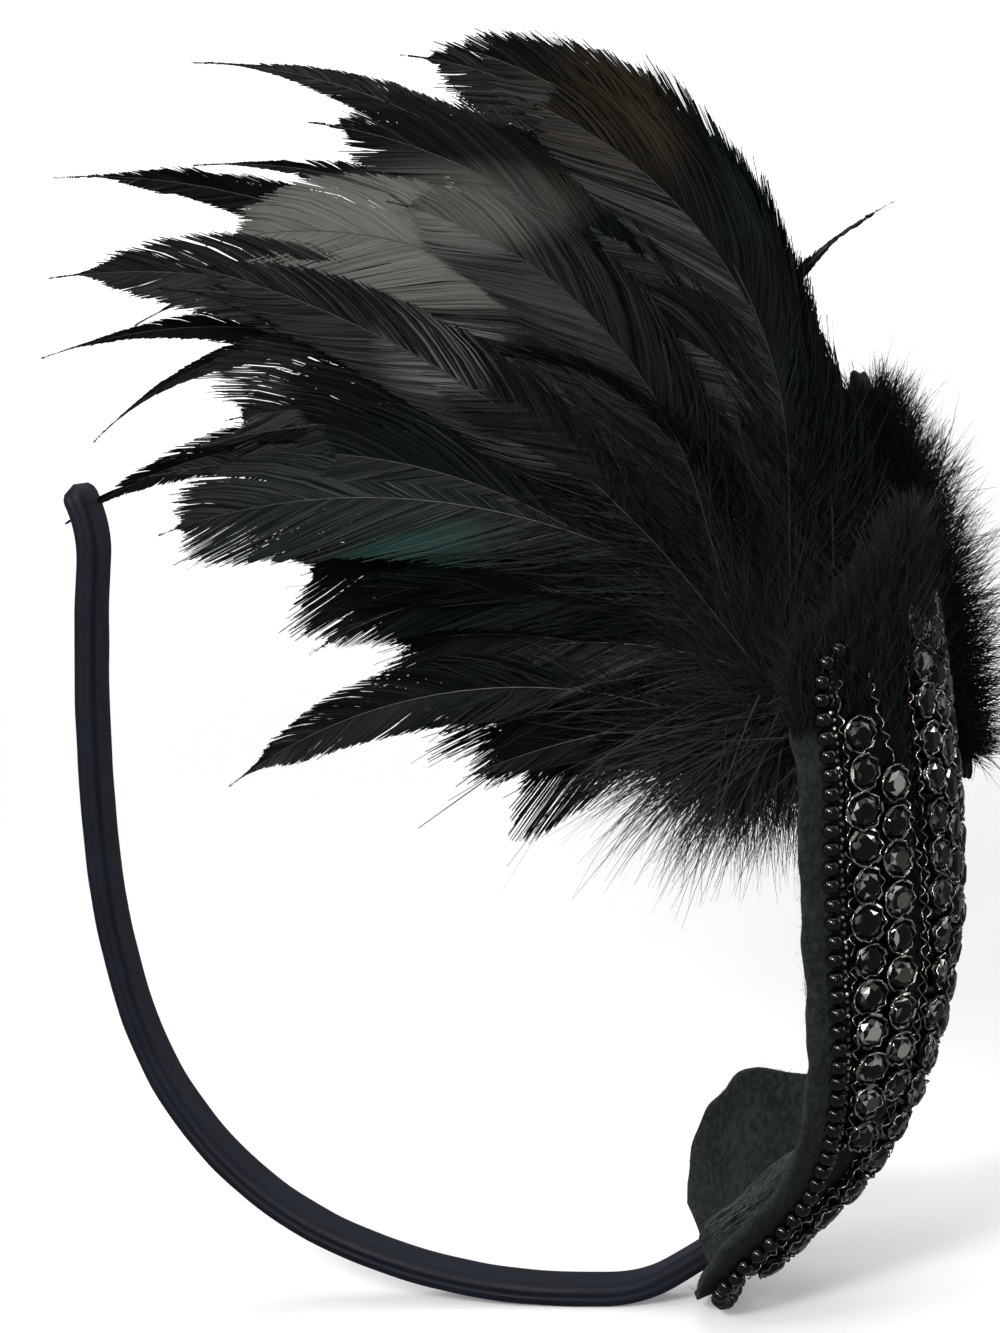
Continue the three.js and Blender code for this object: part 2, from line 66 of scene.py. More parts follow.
# Ornament: sections from its lower tip up
ORNAMENT_START = 21
ORNAMENT_LENGTH = 157
ORNAMENT_HALF_WIDTH = 38
ORNAMENT_BEND_RADIUS = 35
FELT_THICKNESS = 1.6
FELT_MARGIN = 3
RIDGE_HALF_WIDTH = 9
RIDGE_START = 5
SECTION_COLUMNS = ("along", "near", "far", "curl", "roll", "drop")
ORNAMENT_SECTIONS = np.array((
    (0.00, 0.16, 0.64, 1.70, 0, 1.0),
    (0.04, 0.42, 0.81, 1.70, 4, 1.0),
    (0.07, 0.52, 0.85, 1.70, 8, 0.7),
    (0.10, 0.58, 0.88, 1.70, 10, 0.45),
    (0.14, 0.58, 0.90, 1.70, 10, 0.25),
    (0.19, 0.59, 0.90, 1.70, 10, 0.1),
    (0.28, 0.73, 0.60, 1.50, 10, 0.0),
    (0.40, 0.92, 0.64, 1.25, 8, 0.0),
    (0.52, 1.01, 0.86, 1.15, 4, 0.0),
    (0.66, 1.02, 1.00, 1.05, 0, 0.0),
    (0.80, 1.00, 1.00, 1.00, 0, 0.0),
    (0.88, 0.99, 0.99, 1.00, 0, 0.0),
    (0.92, 0.92, 0.92, 1.00, 0, 0.0),
    (0.95, 0.60, 0.60, 1.00, 0, 0.0),
    (1.00, 0.12, 0.12, 1.00, 0, 0.0),
))

# Stones in cups, in lobes
STONE_PITCH = 7.1
STONE_RADIUS = 3.3
COLUMN_STEP = 6.5
CENTRE_HALF_WIDTH = 14
STRIP_LIFT = 0.8
LOBE_SPLIT = 8
WIRE_RADIUS = 0.14

# Beads
BEAD_DIAMETER = 3.4
BEADS_TIP = 0.026
BEADS_TIP_SKEW = 1.6
BEADS_FROM = 0.085
BEADS_TO = 0.925

# Plume: rise is the heading at the root, turn the bend to the left, straight the share before the bend,
# reach and breadth shares of the length and width, lean the slant away from the viewer, the paleness
# of the vane (a painted sheen on the palest row) and gloss the strength of its painted green glints
PLUME_ROOT = np.array((50.96, -4.0, 112.99))
FEATHER_LENGTH = 180
FEATHER_WIDTH = 18
FEATHER_COLUMNS = ("rise", "turn", "straight", "reach", "breadth", "lean", "shade", "gloss")
FEATHERS = np.array((
    (107, 70, 0.30, 1.04, 0.65, 4, 0.0, 0.1),
    (100, 72, 0.25, 0.89, 1.20, 1, 0.2, 0.3),
    (90, 84, 0.30, 0.92, 1.10, 3, 0.1, 0.2),
    (119, 62, 0.25, 1.06, 0.75, 2, 0.1, 0.1),
    (111, 72, 0.30, 0.96, 0.60, 3, 0.1, 0.0),
    (120, 66, 0.20, 0.99, 1.00, -3, 0.2, 0.1),
    (124, 74, 0.20, 1.01, 0.60, 3, 0.1, 0.1),
    (122, 100, 0.25, 1.01, 0.45, 6, 0.0, 0.1),
    (130, 64, 0.10, 0.83, 0.60, 0, 0.0, 0.3),
    (129, 70, 0.10, 0.76, 1.20, -5, 0.1, 0.9),
    (150, 66, 0.00, 0.64, 0.70, -8, 0.2, 0.6),
    (152, 40, 0.00, 0.48, 0.60, 9, 0.0, 0.1),
    (171, 30, 0.00, 0.37, 0.50, -5, 0.1, 0.1),
    (104, -84, 0.32, 0.62, 0.26, 5, 0.1, 0.0),
    (87, 78, 0.30, 0.88, 1.10, -1, 0.1, 0.5),
    (88, 64, 0.30, 0.83, 1.10, 4, 0.1, 0.4),
    (85, 48, 0.25, 0.75, 1.10, 1, 0.1, 0.8),
    (85, 34, 0.20, 0.65, 1.00, 7, 0.2, 0.6),
    (85, 10, 0.00, 0.52, 0.90, -1, 0.1, 0.2),
    (111, 83, 0.33, 0.90, 1.25, -2, 1.0, 0.0),
    (122, 70, 0.20, 0.75, 1.60, -1, 0.25, 0.1),
    (134, 64, 0.10, 0.61, 1.60, 4, 0.1, 0.5),
    (141, 46, 0.00, 0.43, 1.50, -7, 0.1, 0.2),
    (159, 36, 0.00, 0.34, 1.30, 6, 0.0, 0.1),
    (92, 68, 0.20, 0.81, 1.30, 3, 0.2, 0.3),
))
FRINGE_FROM = 178
FRINGE_TO = 268
FRINGE_LENGTH = 46
FRINGE_CLUMPS = 130

# Rows of the table that get no companions, the part of a quill that carries barbs, and its thickness
LONE_FEATHERS = (7, 10, 13)
VANE_START = 0.24
VANE_END = 0.985
QUILL_RADIUS = 0.42
QUILL_TIP_RADIUS = 0.07

# Room kept by feathers and down below the felt's middle, and round the ridge from the band's middle
FELT_ROOM = 1.3
RIDGE_SIDE_ROOM = 7.2
RIDGE_INNER_ROOM = 5.3
RIDGE_OUTER_ROOM = 8
PUFF_FELT_ROOM = 1.5
STONES_ROOM = 5.4

# Where the vanes' green, brown and pale glints lie, as x and z in metres
GLINT_LOW = (-0.0215, 0.149)
GLINT_HIGH = (0.0366, 0.2113)
GLINT_BROWN = (0.0239, 0.2285)
GLINT_PALE = (-0.009, 0.1895)
GLINT_GREY = (-0.0115, 0.2125)

# Puff of down along the ornament's far edge
PUFF_PLACE = np.array((65.03, 41.0, 131.94))
PUFF_SLANT = -11
PUFF_LENGTH = 88
PUFF_REACH = 16

# Camera, from the photograph's angle
CAMERA_AZIMUTH = 16
CAMERA_ELEVATION = 11
CAMERA_ROLL = 5
CAMERA_DISTANCE = 800
CAMERA_LENS = 114.5
SENSOR_HEIGHT = 36
CAMERA_TARGET = np.array((-6.95, 0.0, 125.8))


# Shape of the band and of the ornament

def walk(arm, length, distance):
    """Places and headings after distances along a chain of arcs that starts level."""
    x, z, heading = (np.zeros_like(distance) for _ in range(3))
    left = distance.copy()
    for share, turn in arm:
        used = np.clip(left, 0, share * length)
        angle = math.radians(turn) * used / (share * length)
        chord = used * np.sinc(angle / 2 / np.pi)
        x += chord * np.cos(heading + angle / 2)
        z += chord * np.sin(heading + angle / 2)
        heading += angle
        left -= used
    return x + left * np.cos(heading), z + left * np.sin(heading), heading


def band_at(distance):
    """Middle line of the band and its outward direction: negative distances run up the left arm."""
    distance = np.atleast_1d(np.asarray(distance, float))
    flat = np.minimum(np.abs(distance), CROWN_FLAT / 2)
    past = np.abs(distance) - flat
    side = np.where(distance < 0, -1.0, 1.0)
    left, right = walk(LEFT_ARM, BAND_LEFT_LENGTH, past), walk(RIGHT_ARM, BAND_RIGHT_LENGTH, past)
    x, z, heading = (np.where(side < 0, a, b) for a, b in zip(left, right))
    turn = side * heading
    none = np.zeros_like(x)
    place = np.stack([side * (flat + x), none, z + BAND_THICKNESS / 2], axis=-1)
    return place, np.stack([np.sin(turn), none, -np.cos(turn)], axis=-1)


def band_section(part):
    """The band's rounded section as depth and outward height, from the middle of its far side round."""
    half_depth = BAND_DEPTH / 2 - BAND_EDGE_RADIUS
    half_height = BAND_THICKNESS / 2 - BAND_EDGE_RADIUS
    line = [(half_depth + BAND_EDGE_RADIUS, 0)]
    for corner, (depth, height) in enumerate(((1, 1), (-1, 1), (-1, -1), (1, -1))):
        for step in np.linspace(0, 1, 9):
            angle = (corner + step) * math.pi / 2
            line.append((depth * half_depth + BAND_EDGE_RADIUS * math.cos(angle),
                         height * half_height + BAND_EDGE_RADIUS * math.sin(angle)))
    line = np.array(line + line[:1])
    run = np.concatenate([[0], np.cumsum(np.hypot(*np.diff(line, axis=0).T))])
    return np.stack([np.interp(part * run[-1], run, line[:, k]) for k in (0, 1)], axis=-1)


def section(name, along):
    """A column of the ornament's sections at shares of its length, as a cubic with free ends."""
    stops = ORNAMENT_SECTIONS[:, 0]
    values = ORNAMENT_SECTIONS[:, SECTION_COLUMNS.index(name)]
    at = np.clip(along, 0, 1)
    after = np.clip(np.searchsorted(stops, at, side="right"), 1, len(stops) - 1)
    before = after - 1
    first, last = before == 0, after == len(stops) - 1
    prior = np.where(first, after, before - 1)
    later = np.where(last, before, np.minimum(after + 1, len(stops) - 1))
    step = stops[after] - stops[before]
    wp = step / 2 / (stops[before] - stops[prior])
    wn = step / 2 / (stops[later] - stops[after])
    p = (at - stops[before]) / step
    return (values[prior] * (-wp * p**3 + 2 * wp * p**2 - wp * p)
            + values[before] * ((1 + wp) * p**3 - (1.5 + 2 * wp) * p**2 + (wp - 0.5) * p + 1)
            + values[after] * (-(1 + wn) * p**3 + (1.5 + wn) * p**2 + 0.5 * p)
            + values[later] * (wn * p**3 - wn * p**2))


def near_edge(along):
    return -section("near", along) * ORNAMENT_HALF_WIDTH


def far_edge(along):
    return section("far", along) * ORNAMENT_HALF_WIDTH


tip_drop = 0.0


def bend_at(along):
    """Radius of the felt's bend, its roll, and its seat over the band's middle line."""
    roll = np.radians(section("roll", along))
    seat = (BAND_THICKNESS / 2 + GAP + FELT_THICKNESS / 2 + BAND_DEPTH / 2 * np.sin(roll)
            + tip_drop * section("drop", along))
    return ORNAMENT_BEND_RADIUS / section("curl", along), roll, seat


def on_ornament(along, across, height):
    """Points of the bent ornament at shares of its length, distances across it and heights over it."""
    along, across, height = np.broadcast_arrays(*(np.asarray(v, float) for v in (along, across, height)))
    place, out = band_at((ORNAMENT_START + along * ORNAMENT_LENGTH).ravel())
    radius, roll, seat = bend_at(along)
    sideways = (radius + height) * np.sin(across / radius)
    outwards = (radius + height) * np.cos(across / radius) - radius
    y = sideways * np.cos(roll) + outwards * np.sin(roll)
    n = outwards * np.cos(roll) - sideways * np.sin(roll) + seat
    points = place.reshape(*along.shape, 3) + n[..., None] * out.reshape(*along.shape, 3)
    points[..., 1] += y
    return points


def ornament_frame(along, across, height):
    """Points on the ornament with directions along it, across it and away from the felt."""
    foot = on_ornament(along, across, height)
    up = unit(on_ornament(along, across, np.asarray(height) + 1) - foot)
    ahead = on_ornament(np.asarray(along) + 0.002, across, height) - foot
    ahead = unit(ahead - up * (ahead * up).sum(-1, keepdims=True))
    return foot, ahead, np.cross(up, ahead), up


def from_ornament(points):
    """Share of length, distance across, height over the felt and distance out from the band of points."""
    runs = np.arange(ORNAMENT_START - 12.0, ORNAMENT_START + ORNAMENT_LENGTH + 14, 1.0)
    place, out = band_at(runs)
    nearest = np.concatenate([np.argmin(
        (part[:, None, 0] - place[None, :, 0]) ** 2 + (part[:, None, 2] - place[None, :, 2]) ** 2, axis=1)
        for part in np.array_split(points, max(1, len(points) // 20000))])
    along = (runs[nearest] - ORNAMENT_START) / ORNAMENT_LENGTH
    n = ((points - place[nearest]) * out[nearest]).sum(-1)
    radius, roll, seat = bend_at(along)
    sideways = points[:, 1] * np.cos(roll) - (n - seat) * np.sin(roll)
    outwards = points[:, 1] * np.sin(roll) + (n - seat) * np.cos(roll) + radius
    return along, radius * np.arctan2(sideways, outwards), np.hypot(sideways, outwards) - radius, n


def bead_line(edge, along):
    return edge(along) - np.sign(edge(along)) * (FELT_MARGIN + BEAD_DIAMETER / 2)


def bead_path(inset=0.0, height=FELT_THICKNESS / 2 + 2 * GAP + BEAD_DIAMETER / 2, steps=90):
    """Line of the bead string from the near lobe's top round the tip to the far lobe's top."""
    side = np.linspace(BEADS_TO, BEADS_FROM, steps)
    near, far = bead_line(near_edge, side) + inset, bead_line(far_edge, side) - inset
    part = np.linspace(-1, 1, 41)[1:-1]
    skew = near[-1] + (far[-1] - near[-1]) * ((1 + part) / 2) ** BEADS_TIP_SKEW
    lift = inset / ORNAMENT_LENGTH
    return np.concatenate([
        on_ornament(side, near, height),
        on_ornament(BEADS_TIP + lift + (BEADS_FROM - BEADS_TIP - lift) * part**2, skew, height),
        on_ornament(side[::-1], far[::-1], height),
    ])


for _ in range(12):
    tip_drop += bead_path()[:, 2].min() - BEAD_DIAMETER / 2


# Small tools for meshes

def unit(vectors):
    return vectors / np.maximum(np.linalg.norm(vectors, axis=-1, keepdims=True), 1e-9)


def smoothstep(value, low, high):
    t = np.clip((value - low) / (high - low), 0, 1)
    return t * t * (3 - 2 * t)


def ripple(points, size, seed):
    """Smooth noise from -1 to 1 at points, with waves of about the given size."""
    rng = np.random.default_rng(seed)
    waves = unit(rng.normal(size=(8, 3))) * rng.uniform(0.7, 1.5, (8, 1)) * 2 * math.pi / size
    return np.sin(points @ waves.T + rng.uniform(0, 2 * math.pi, 8)).sum(-1) / 4


def even_points(line, step):
    """Points at even distances along a line."""
    run = np.concatenate([[0], np.cumsum(np.linalg.norm(np.diff(line, axis=0), axis=1))])
    at = np.linspace(0, run[-1], max(2, round(run[-1] / step) + 1))
    return np.stack([np.interp(at, run, line[:, k]) for k in range(3)], axis=-1)


def add_piece(name, mesh, slot, nodes, *finishes):
    """An object at the origin that rides on the headband and stands for the named solids."""
    piece = bpy.data.objects.new(name, mesh)
    bpy.context.scene.collection.objects.link(piece)
    for finish in finishes:
        mesh.materials.append(finish.material)
    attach(piece, "root")
    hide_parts(*nodes)
    return piece


def mesh_from(bm, name):
    mesh = bpy.data.meshes.new(name)
    bm.to_mesh(mesh)
    bm.free()
    mesh.polygons.foreach_set("use_smooth", [True] * len(mesh.polygons))
    return mesh


def mapped_grid(columns, rows, place, uv_size):
    """A closed grid whose vertices go where place sends its two shares, with its UV map in metres."""
    bm = bmesh.new()
    layer = bm.loops.layers.uv.new("UVMap")
    bmesh.ops.create_grid(bm, x_segments=columns, y_segments=rows, size=1, calc_uvs=True)
    shares = np.array([(v.co.x, v.co.y) for v in bm.verts]) / 2 + 0.5
    for vert, point in zip(bm.verts, place(shares[:, 0], shares[:, 1])):
        vert.co = Vector(point * MM)
    for face in bm.faces:
        for loop in face.loops:
            loop[layer].uv = (loop[layer].uv.x * uv_size[0] * MM, loop[layer].uv.y * uv_size[1] * MM)
    bmesh.ops.remove_doubles(bm, verts=bm.verts, dist=1e-6)
    bmesh.ops.recalc_face_normals(bm, faces=bm.faces)
    return bm


def mesh_of_quads(name, corners, quads, smooth=True):
    mesh = bpy.data.meshes.new(name)
    mesh.vertices.add(len(corners))
    mesh.vertices.foreach_set("co", (corners * MM).astype(np.float32).ravel())
    mesh.loops.add(quads.size)
    mesh.loops.foreach_set("vertex_index", quads.astype(np.int32).ravel())
    mesh.polygons.add(len(quads))
    mesh.polygons.foreach_set("loop_start", np.arange(0, quads.size, quads.shape[1], dtype=np.int32))
    mesh.update(calc_edges=True)
    mesh.polygons.foreach_set("use_smooth", [smooth] * len(mesh.polygons))
    return mesh


def add_values(mesh, **columns):
    """Stores one number for each vertex under each name."""
    for name, values in columns.items():
        attribute = mesh.attributes.new(name, "FLOAT", "POINT")
        attribute.data.foreach_set("value", np.asarray(values, np.float32))


def ribbons(name, lines, sides, widths, **columns):
    """Flat hairs as strips: lines and sides are (hair, step, 3), widths (hair, step), columns (hair,)."""
    count, steps = lines.shape[:2]
    offset = sides * widths[..., None] / 2
    corners = np.stack([lines - offset, lines + offset], axis=2).reshape(-1, 3)
    base = np.arange(count)[:, None] * 2 * steps + np.arange(steps - 1)[None, :] * 2
    quads = np.stack([base, base + 1, base + 3, base + 2], axis=-1).reshape(-1, 4)
    mesh = mesh_of_quads(name, corners, quads)
    add_values(mesh, length_share=np.tile(np.repeat(np.linspace(0, 1, steps), 2), count),
               **{key: np.repeat(values, 2 * steps) for key, values in columns.items()})
    return mesh


def copies(name, pattern, places, frames, smooth=False, **columns):
    """One mesh that repeats a small bmesh at places (n, 3), turned by frames (n, 3, 3) of column vectors."""
    bmesh.ops.triangulate(pattern, faces=pattern.faces)
    pattern.verts.ensure_lookup_table()
    corners = np.array([v.co[:] for v in pattern.verts])
    faces = np.array([[v.index for v in face.verts] for face in pattern.faces])
    pattern.free()
    points = np.einsum("nij,vj->nvi", frames, corners) + places[:, None]
    index = faces[None] + np.arange(len(places))[:, None, None] * len(corners)
    mesh = mesh_of_quads(name, points.reshape(-1, 3), index.reshape(-1, 3), smooth)
    add_values(mesh, **{key: np.repeat(values, len(corners)) for key, values in columns.items()})
    return mesh


def hairs(roots, aims, lengths, bow, steps, wave=None):
    """Lines of bowed hairs from roots along aims; bow is the sideways shift of the tip as a share of length."""
    t = np.linspace(0, 1, steps)[None, :, None]
    reach = lengths[:, None, None]
    lines = roots[:, None] + reach * (aims[:, None] * t + bow[:, None] * t**2)
    if wave is not None:
        lines += reach * wave[:, None] * np.sin(t * 5) * t
    return lines


def hair_sides(lines, rng):
    """Directions across hairs, each turned at random round its hair."""
    ahead = unit(np.gradient(lines, axis=1))
    spin = unit(rng.normal(size=(len(lines), 1, 3)))
    return unit(np.cross(ahead, spin))


def tapered(count, steps, width, tip, rng):
    t = np.linspace(0, 1, steps)
    return width * rng.uniform(0.7, 1.3, (count, 1)) * (1 - (1 - tip) * t[None, :] ** 1.3)


def add_hairs(name, lines, width, tip, rng, slot, node, finish, mixed=True):
    """A piece of thin hairs, each with its own turn and width and, where mixed, its own tone."""
    count, steps = lines.shape[:2]
    sides = hair_sides(lines, rng)
    widths = tapered(count, steps, width, tip, rng)
    columns = {"barb": rng.random(count)} if mixed else {}
    return add_piece(name, ribbons(name, lines, sides, widths, **columns), slot, [node], finish)


def joined(name, parts):
    """One mesh of several parts, each given as its corners and quads."""
    bases = np.cumsum([0] + [len(points) for points, _ in parts])
    return mesh_of_quads(name, np.concatenate([points for points, _ in parts]),
                         np.concatenate([quads + base for (_, quads), base in zip(parts, bases)]))


# Finishes

class Value:
    """A socket of a shader tree. Arithmetic on it adds Math nodes."""

    def __init__(self, finish, socket):
        self.finish, self.socket = finish, socket

    def math(self, operation, *values):
        return self.finish.add("ShaderNodeMath", {"operation": operation}, dict(enumerate(values)))

    def __add__(self, other):
        return self.math("ADD", self, other)

    def __sub__(self, other):
        return self.math("SUBTRACT", self, other)

    def __mul__(self, other):
        return self.math("MULTIPLY", self, other)

    def __pow__(self, other):
        return self.math("POWER", self, other)

    __radd__ = __add__
    __rmul__ = __mul__

    def sin(self):
        return self.math("SINE", self)


class Finish:
    """A procedural material."""

    def __init__(self, name):
        self.material = bpy.data.materials.new(name)
        self.material.use_nodes = True
        self.tree = self.material.node_tree
        self.tree.nodes.clear()

    def add(self, kind, settings=None, sockets=None, out=0):
        """Adds a node of a kind with its settings, then its sockets' values or links, and gives one output."""
        node = self.tree.nodes.new(kind)
        for key, value in (settings or {}).items():
            setattr(node, key, value)
        for key, value in (sockets or {}).items():
            if isinstance(value, Value):
                self.tree.links.new(value.socket, node.inputs[key])
            else:
                node.inputs[key].default_value = value
        return Value(self, node.outputs[out]) if len(node.outputs) else node

    def place(self, kind="Object"):
        return self.add("ShaderNodeTexCoord", out=kind)

    def stretched(self, vector, scale):
        return self.add("ShaderNodeMapping", {}, {"Vector": vector, "Scale": scale})

    def split(self, vector):
        parts = self.add("ShaderNodeSeparateXYZ", {}, {0: vector})
        return [Value(self, socket) for socket in parts.socket.node.outputs]

    def stored(self, name):
        return self.add("ShaderNodeAttribute", {"attribute_name": name}, out="Fac")

    def noise(self, vector, scale, detail=3.0, roughness=0.5):
        return self.add("ShaderNodeTexNoise", {}, {"Vector": vector, "Scale": scale, "Detail": detail,
                                                   "Roughness": roughness})

    def between(self, value, low, high, start=0.0, end=1.0):
        return self.add("ShaderNodeMapRange", {"interpolation_type": "SMOOTHSTEP"},
                        {"Value": value, "From Min": low, "From Max": high, "To Min": start, "To Max": end})

    def mix(self, factor, first, second):
        return self.add("ShaderNodeMix", {"data_type": "RGBA"}, {0: factor, 6: first, 7: second}, out=2)

    def bump(self, height, strength, distance):
        return self.add("ShaderNodeBump", {}, {"Height": height, "Strength": strength, "Distance": distance})

    def done(self, **sockets):
        """Ends the tree in a principled surface; underscores in the names stand for spaces."""
        sockets = {key.replace("_", " "): value for key, value in sockets.items()}
        surface = self.add("ShaderNodeBsdfPrincipled", {}, sockets)
        self.add("ShaderNodeOutputMaterial", {}, {"Surface": surface})
        return self


def cloth_finish(name, color, worn):
    """Ribbon that covers the band: fine weave across its UV map, with a soft sheen."""
    f = Finish(name)
    u, v, _ = f.split(f.place("UV"))
    weft, warp = (v * 12500).sin(), (u * 9000).sin()
    weave = f.add("ShaderNodeMath", {"operation": "MAXIMUM"}, {0: weft, 1: warp})
    cloud = f.noise(f.place(), 90, 4)
    fine = f.noise(f.place(), 2200, 2)
    tone = cloud * 0.6 + fine * 0.4
    base = f.mix(f.between(tone, 0.35, 0.7), color, worn)
    height = weave * 0.5 + fine * 0.8
    return f.done(Base_Color=base, Roughness=f.between(tone, 0.3, 0.7, 0.5, 0.68), Specular_IOR_Level=0.22,
                  Sheen_Weight=0.12, Sheen_Roughness=0.4, Sheen_Tint=(0.5, 0.56, 0.72, 1),
                  Normal=f.bump(height, 0.35, 0.00008))


def felt_finish(name, color, pale):
    """Pressed felt: matted fibres in every direction."""
    f = Finish(name)
    at = f.place()
    mats = f.noise(f.stretched(at, (1, 1, 0.6)), 1100, 5, 0.65)
    cloud = f.noise(at, 120, 3)
    base = f.mix(f.between(mats * 0.75 + cloud * 0.25, 0.4, 0.64), color, pale)
    return f.done(Base_Color=base, Roughness=0.95, Specular_IOR_Level=0.12, Sheen_Weight=0.08,
                  Sheen_Roughness=0.6, Sheen_Tint=(0.7, 0.72, 0.7, 1), Normal=f.bump(mats, 1.0, 0.0007))


def stone_finish(name, color, pale):
    """Dark cut glass: black facets, some painted pale bronze-grey as reflections and a few painted near-white
    as glints.
    """
    f = Finish(name)
    cast = f.stored("cast")
    haze = f.noise(f.place(), 500, 2)
    # Painted reflections: facets with high values turn pale bronze-grey, and the highest turn near-white as
    # glints.
    base = f.mix(f.between(cast, 0.78, 0.98), color, pale)
    base = f.mix(f.between(cast, 0.98, 1.04), base, (0.62, 0.59, 0.54, 1))
    return f.done(Base_Color=base, Metallic=f.between(cast, 0.8, 1, 0.0, 0.6),
                  Roughness=f.between(haze, 0.3, 0.75, 0.05, 0.16), Specular_IOR_Level=0.35)


def metal_finish(name, color, dark):
    """Gunmetal plating, bright in some patches and dull in others."""
    f = Finish(name)
    stain = f.noise(f.place(), 420, 4)
    base = f.mix(f.between(stain, 0.35, 0.66), dark, color)
    return f.done(Base_Color=base, Metallic=1.0, Roughness=f.between(stain, 0.3, 0.7, 0.36, 0.15),
                  Normal=f.bump(f.noise(f.place(), 1800, 2), 0.15, 0.0001))


def bead_finish(name, color):
    """Black pressed glass with a faint ripple."""
    f = Finish(name)
    waves = f.noise(f.place(), 340, 2)
    base = f.mix(f.between(f.stored("cast"), 0.2, 1), color, (0.003, 0.003, 0.004, 1))
    return f.done(Base_Color=base, Roughness=f.between(waves, 0.3, 0.7, 0.03, 0.08), Specular_IOR_Level=0.5,
                  Normal=f.bump(waves, 0.05, 0.0002))


def vane_finish(name, color, pale, green, brown):
    """Feather vanes: near-black barbs, greyer on some feathers, with a painted sheen on the palest
    and painted green, brown and pale glints in places.
    """
    f = Finish(name)
    at = f.place()
    shade, gloss, barb, share = (f.stored(key) for key in ("shade", "gloss", "barb", "length_share"))
    tone = f.between(shade * (0.55 + barb * 0.9), 0.06, 1.0)
    base = f.mix(tone, color, pale)
    patch = f.between(f.noise(at, 38, 3), 0.42, 0.62)
    x, _, z = f.split(at)

    def near(place, reach, flat=1.0, slope=0.0):
        across, rise = x - place[0], z - place[1]
        return f.between((across ** 2.0) + (((rise - across * slope) * flat) ** 2.0), reach**2, 0.0)

    glint = gloss * (0.12 * patch + 0.55 * near(GLINT_LOW, 0.022, 3.0, 0.25)
                     + 0.3 * patch * near(GLINT_HIGH, 0.035))
    base = f.mix(glint * f.between(barb, 0.3, 0.7, 0.15, 1.0), base, green)
    # Painted highlights: a pale streak and a broad grey sheen at fixed places, in the palest feathers' colour.
    base = f.mix(near(GLINT_PALE, 0.014) * f.between(barb, 0.4, 0.75), base, pale)
    base = f.mix(near(GLINT_GREY, 0.036, 3.4) * f.between(barb, 0.1, 0.7, 0.45, 0.85), base, pale)
    base = f.mix(near(GLINT_BROWN, 0.02) * f.between(barb, 0.25, 0.7), base, brown)
    rough = f.between(barb, 0, 1, 0.38, 0.6)
    return f.done(Base_Color=base, Metallic=glint * 0.45, Roughness=rough + share * 0.05,
                  Specular_IOR_Level=0.13)


def quill_finish(name, color, pale):
    f = Finish(name)
    base = f.mix(f.noise(f.place(), 160, 3), color, pale)
    return f.done(Base_Color=base, Roughness=f.between(f.noise(f.place(), 600, 2), 0.3, 0.7, 0.3, 0.45),
                  Specular_IOR_Level=0.45)


def down_finish(name, color, pale):
    """Loose down: soft dark hairs, greyer towards their tips."""
    f = Finish(name)
    share, barb = f.stored("length_share"), f.stored("barb")
    base = f.mix(f.between(share * 0.5 + barb * 0.6, 0.3, 1.1), color, pale)
    return f.done(Base_Color=base, Roughness=f.between(barb, 0, 1, 0.55, 0.75), Specular_IOR_Level=0.22,
                  Sheen_Weight=0.03, Sheen_Roughness=0.5)


def paper_finish(name, color):
    f = Finish(name)
    grain = f.noise(f.place(), 60, 4)
    base = f.mix(grain, color, tuple(c * 0.985 for c in color[:3]) + (1,))
    x, y, z = f.split(f.place())
    reach = (x * x + y * y + z * z) ** 0.5
    glow = f.mix(f.between(reach, 0.25, 1.6), (0.2, 0.2, 0.2, 1), (0.9, 0.9, 0.9, 1))
    return f.done(Base_Color=base, Roughness=0.9, Specular_IOR_Level=0.1, Emission_Color=glow,
                  Emission_Strength=1.0)


# Settings

def tint(label, words, value):
    return bpy.props.FloatVectorProperty(name=label, description=words, default=(*value, 1.0), size=4,
                                         min=0, max=1, subtype="COLOR")


def span(label, words, value):
    return bpy.props.FloatProperty(name=label, description=words, default=value, min=0, precision=5,
                                   unit="LENGTH", subtype="DISTANCE")


def number(label, words, value):
    return bpy.props.IntProperty(name=label, description=words, default=value, min=1)


class HeadbandBandSettings(bpy.types.PropertyGroup):
    cover: tint("Cover", "Colour of the ribbon that covers the band", (0.003, 0.0042, 0.0085))
    cover_worn: tint("Cover, worn", "Colour of the ribbon where it is rubbed", (0.0055, 0.0075, 0.0145))
    seam_depth: span("Seam depth", "Depth of the seam along the side", 0.00022)


class HeadbandOrnamentSettings(bpy.types.PropertyGroup):
    felt: tint("Felt", "Colour of the felt", (0.0085, 0.0108, 0.0118))
    felt_pale: tint("Felt, pale", "Colour of the felt's pale fibres", (0.027, 0.0325, 0.0335))
    strand: tint("Strand", "Colour of the strands along the felt's ridge", (0.047, 0.058, 0.054))
    stone: tint("Stone", "Colour of the stones", (0.003, 0.003, 0.003))
    # Colour of the stones' painted reflections.
    stone_glint: tint("Stone, pale", "Colour of the facets with a bronze cast", (0.13, 0.118, 0.1))
    metal: tint("Metal", "Colour of the settings' wires", (0.72, 0.68, 0.61))
    metal_dark: tint("Metal, dark", "Colour of the wires' hollows", (0.13, 0.12, 0.108))
    cup: tint("Cup", "Colour of the cups and of the mesh between them", (0.03, 0.028, 0.026))
    bead: tint("Bead", "Colour of the beads", (0.0015, 0.0015, 0.002))
    bead_size: span("Bead size", "Diameter of a bead of the edging", BEAD_DIAMETER * MM)
    fuzz: number("Fuzz", "Loose fibres on the felt", 7000)
    strands: number("Strands", "Strands along the felt's ridge", 420)


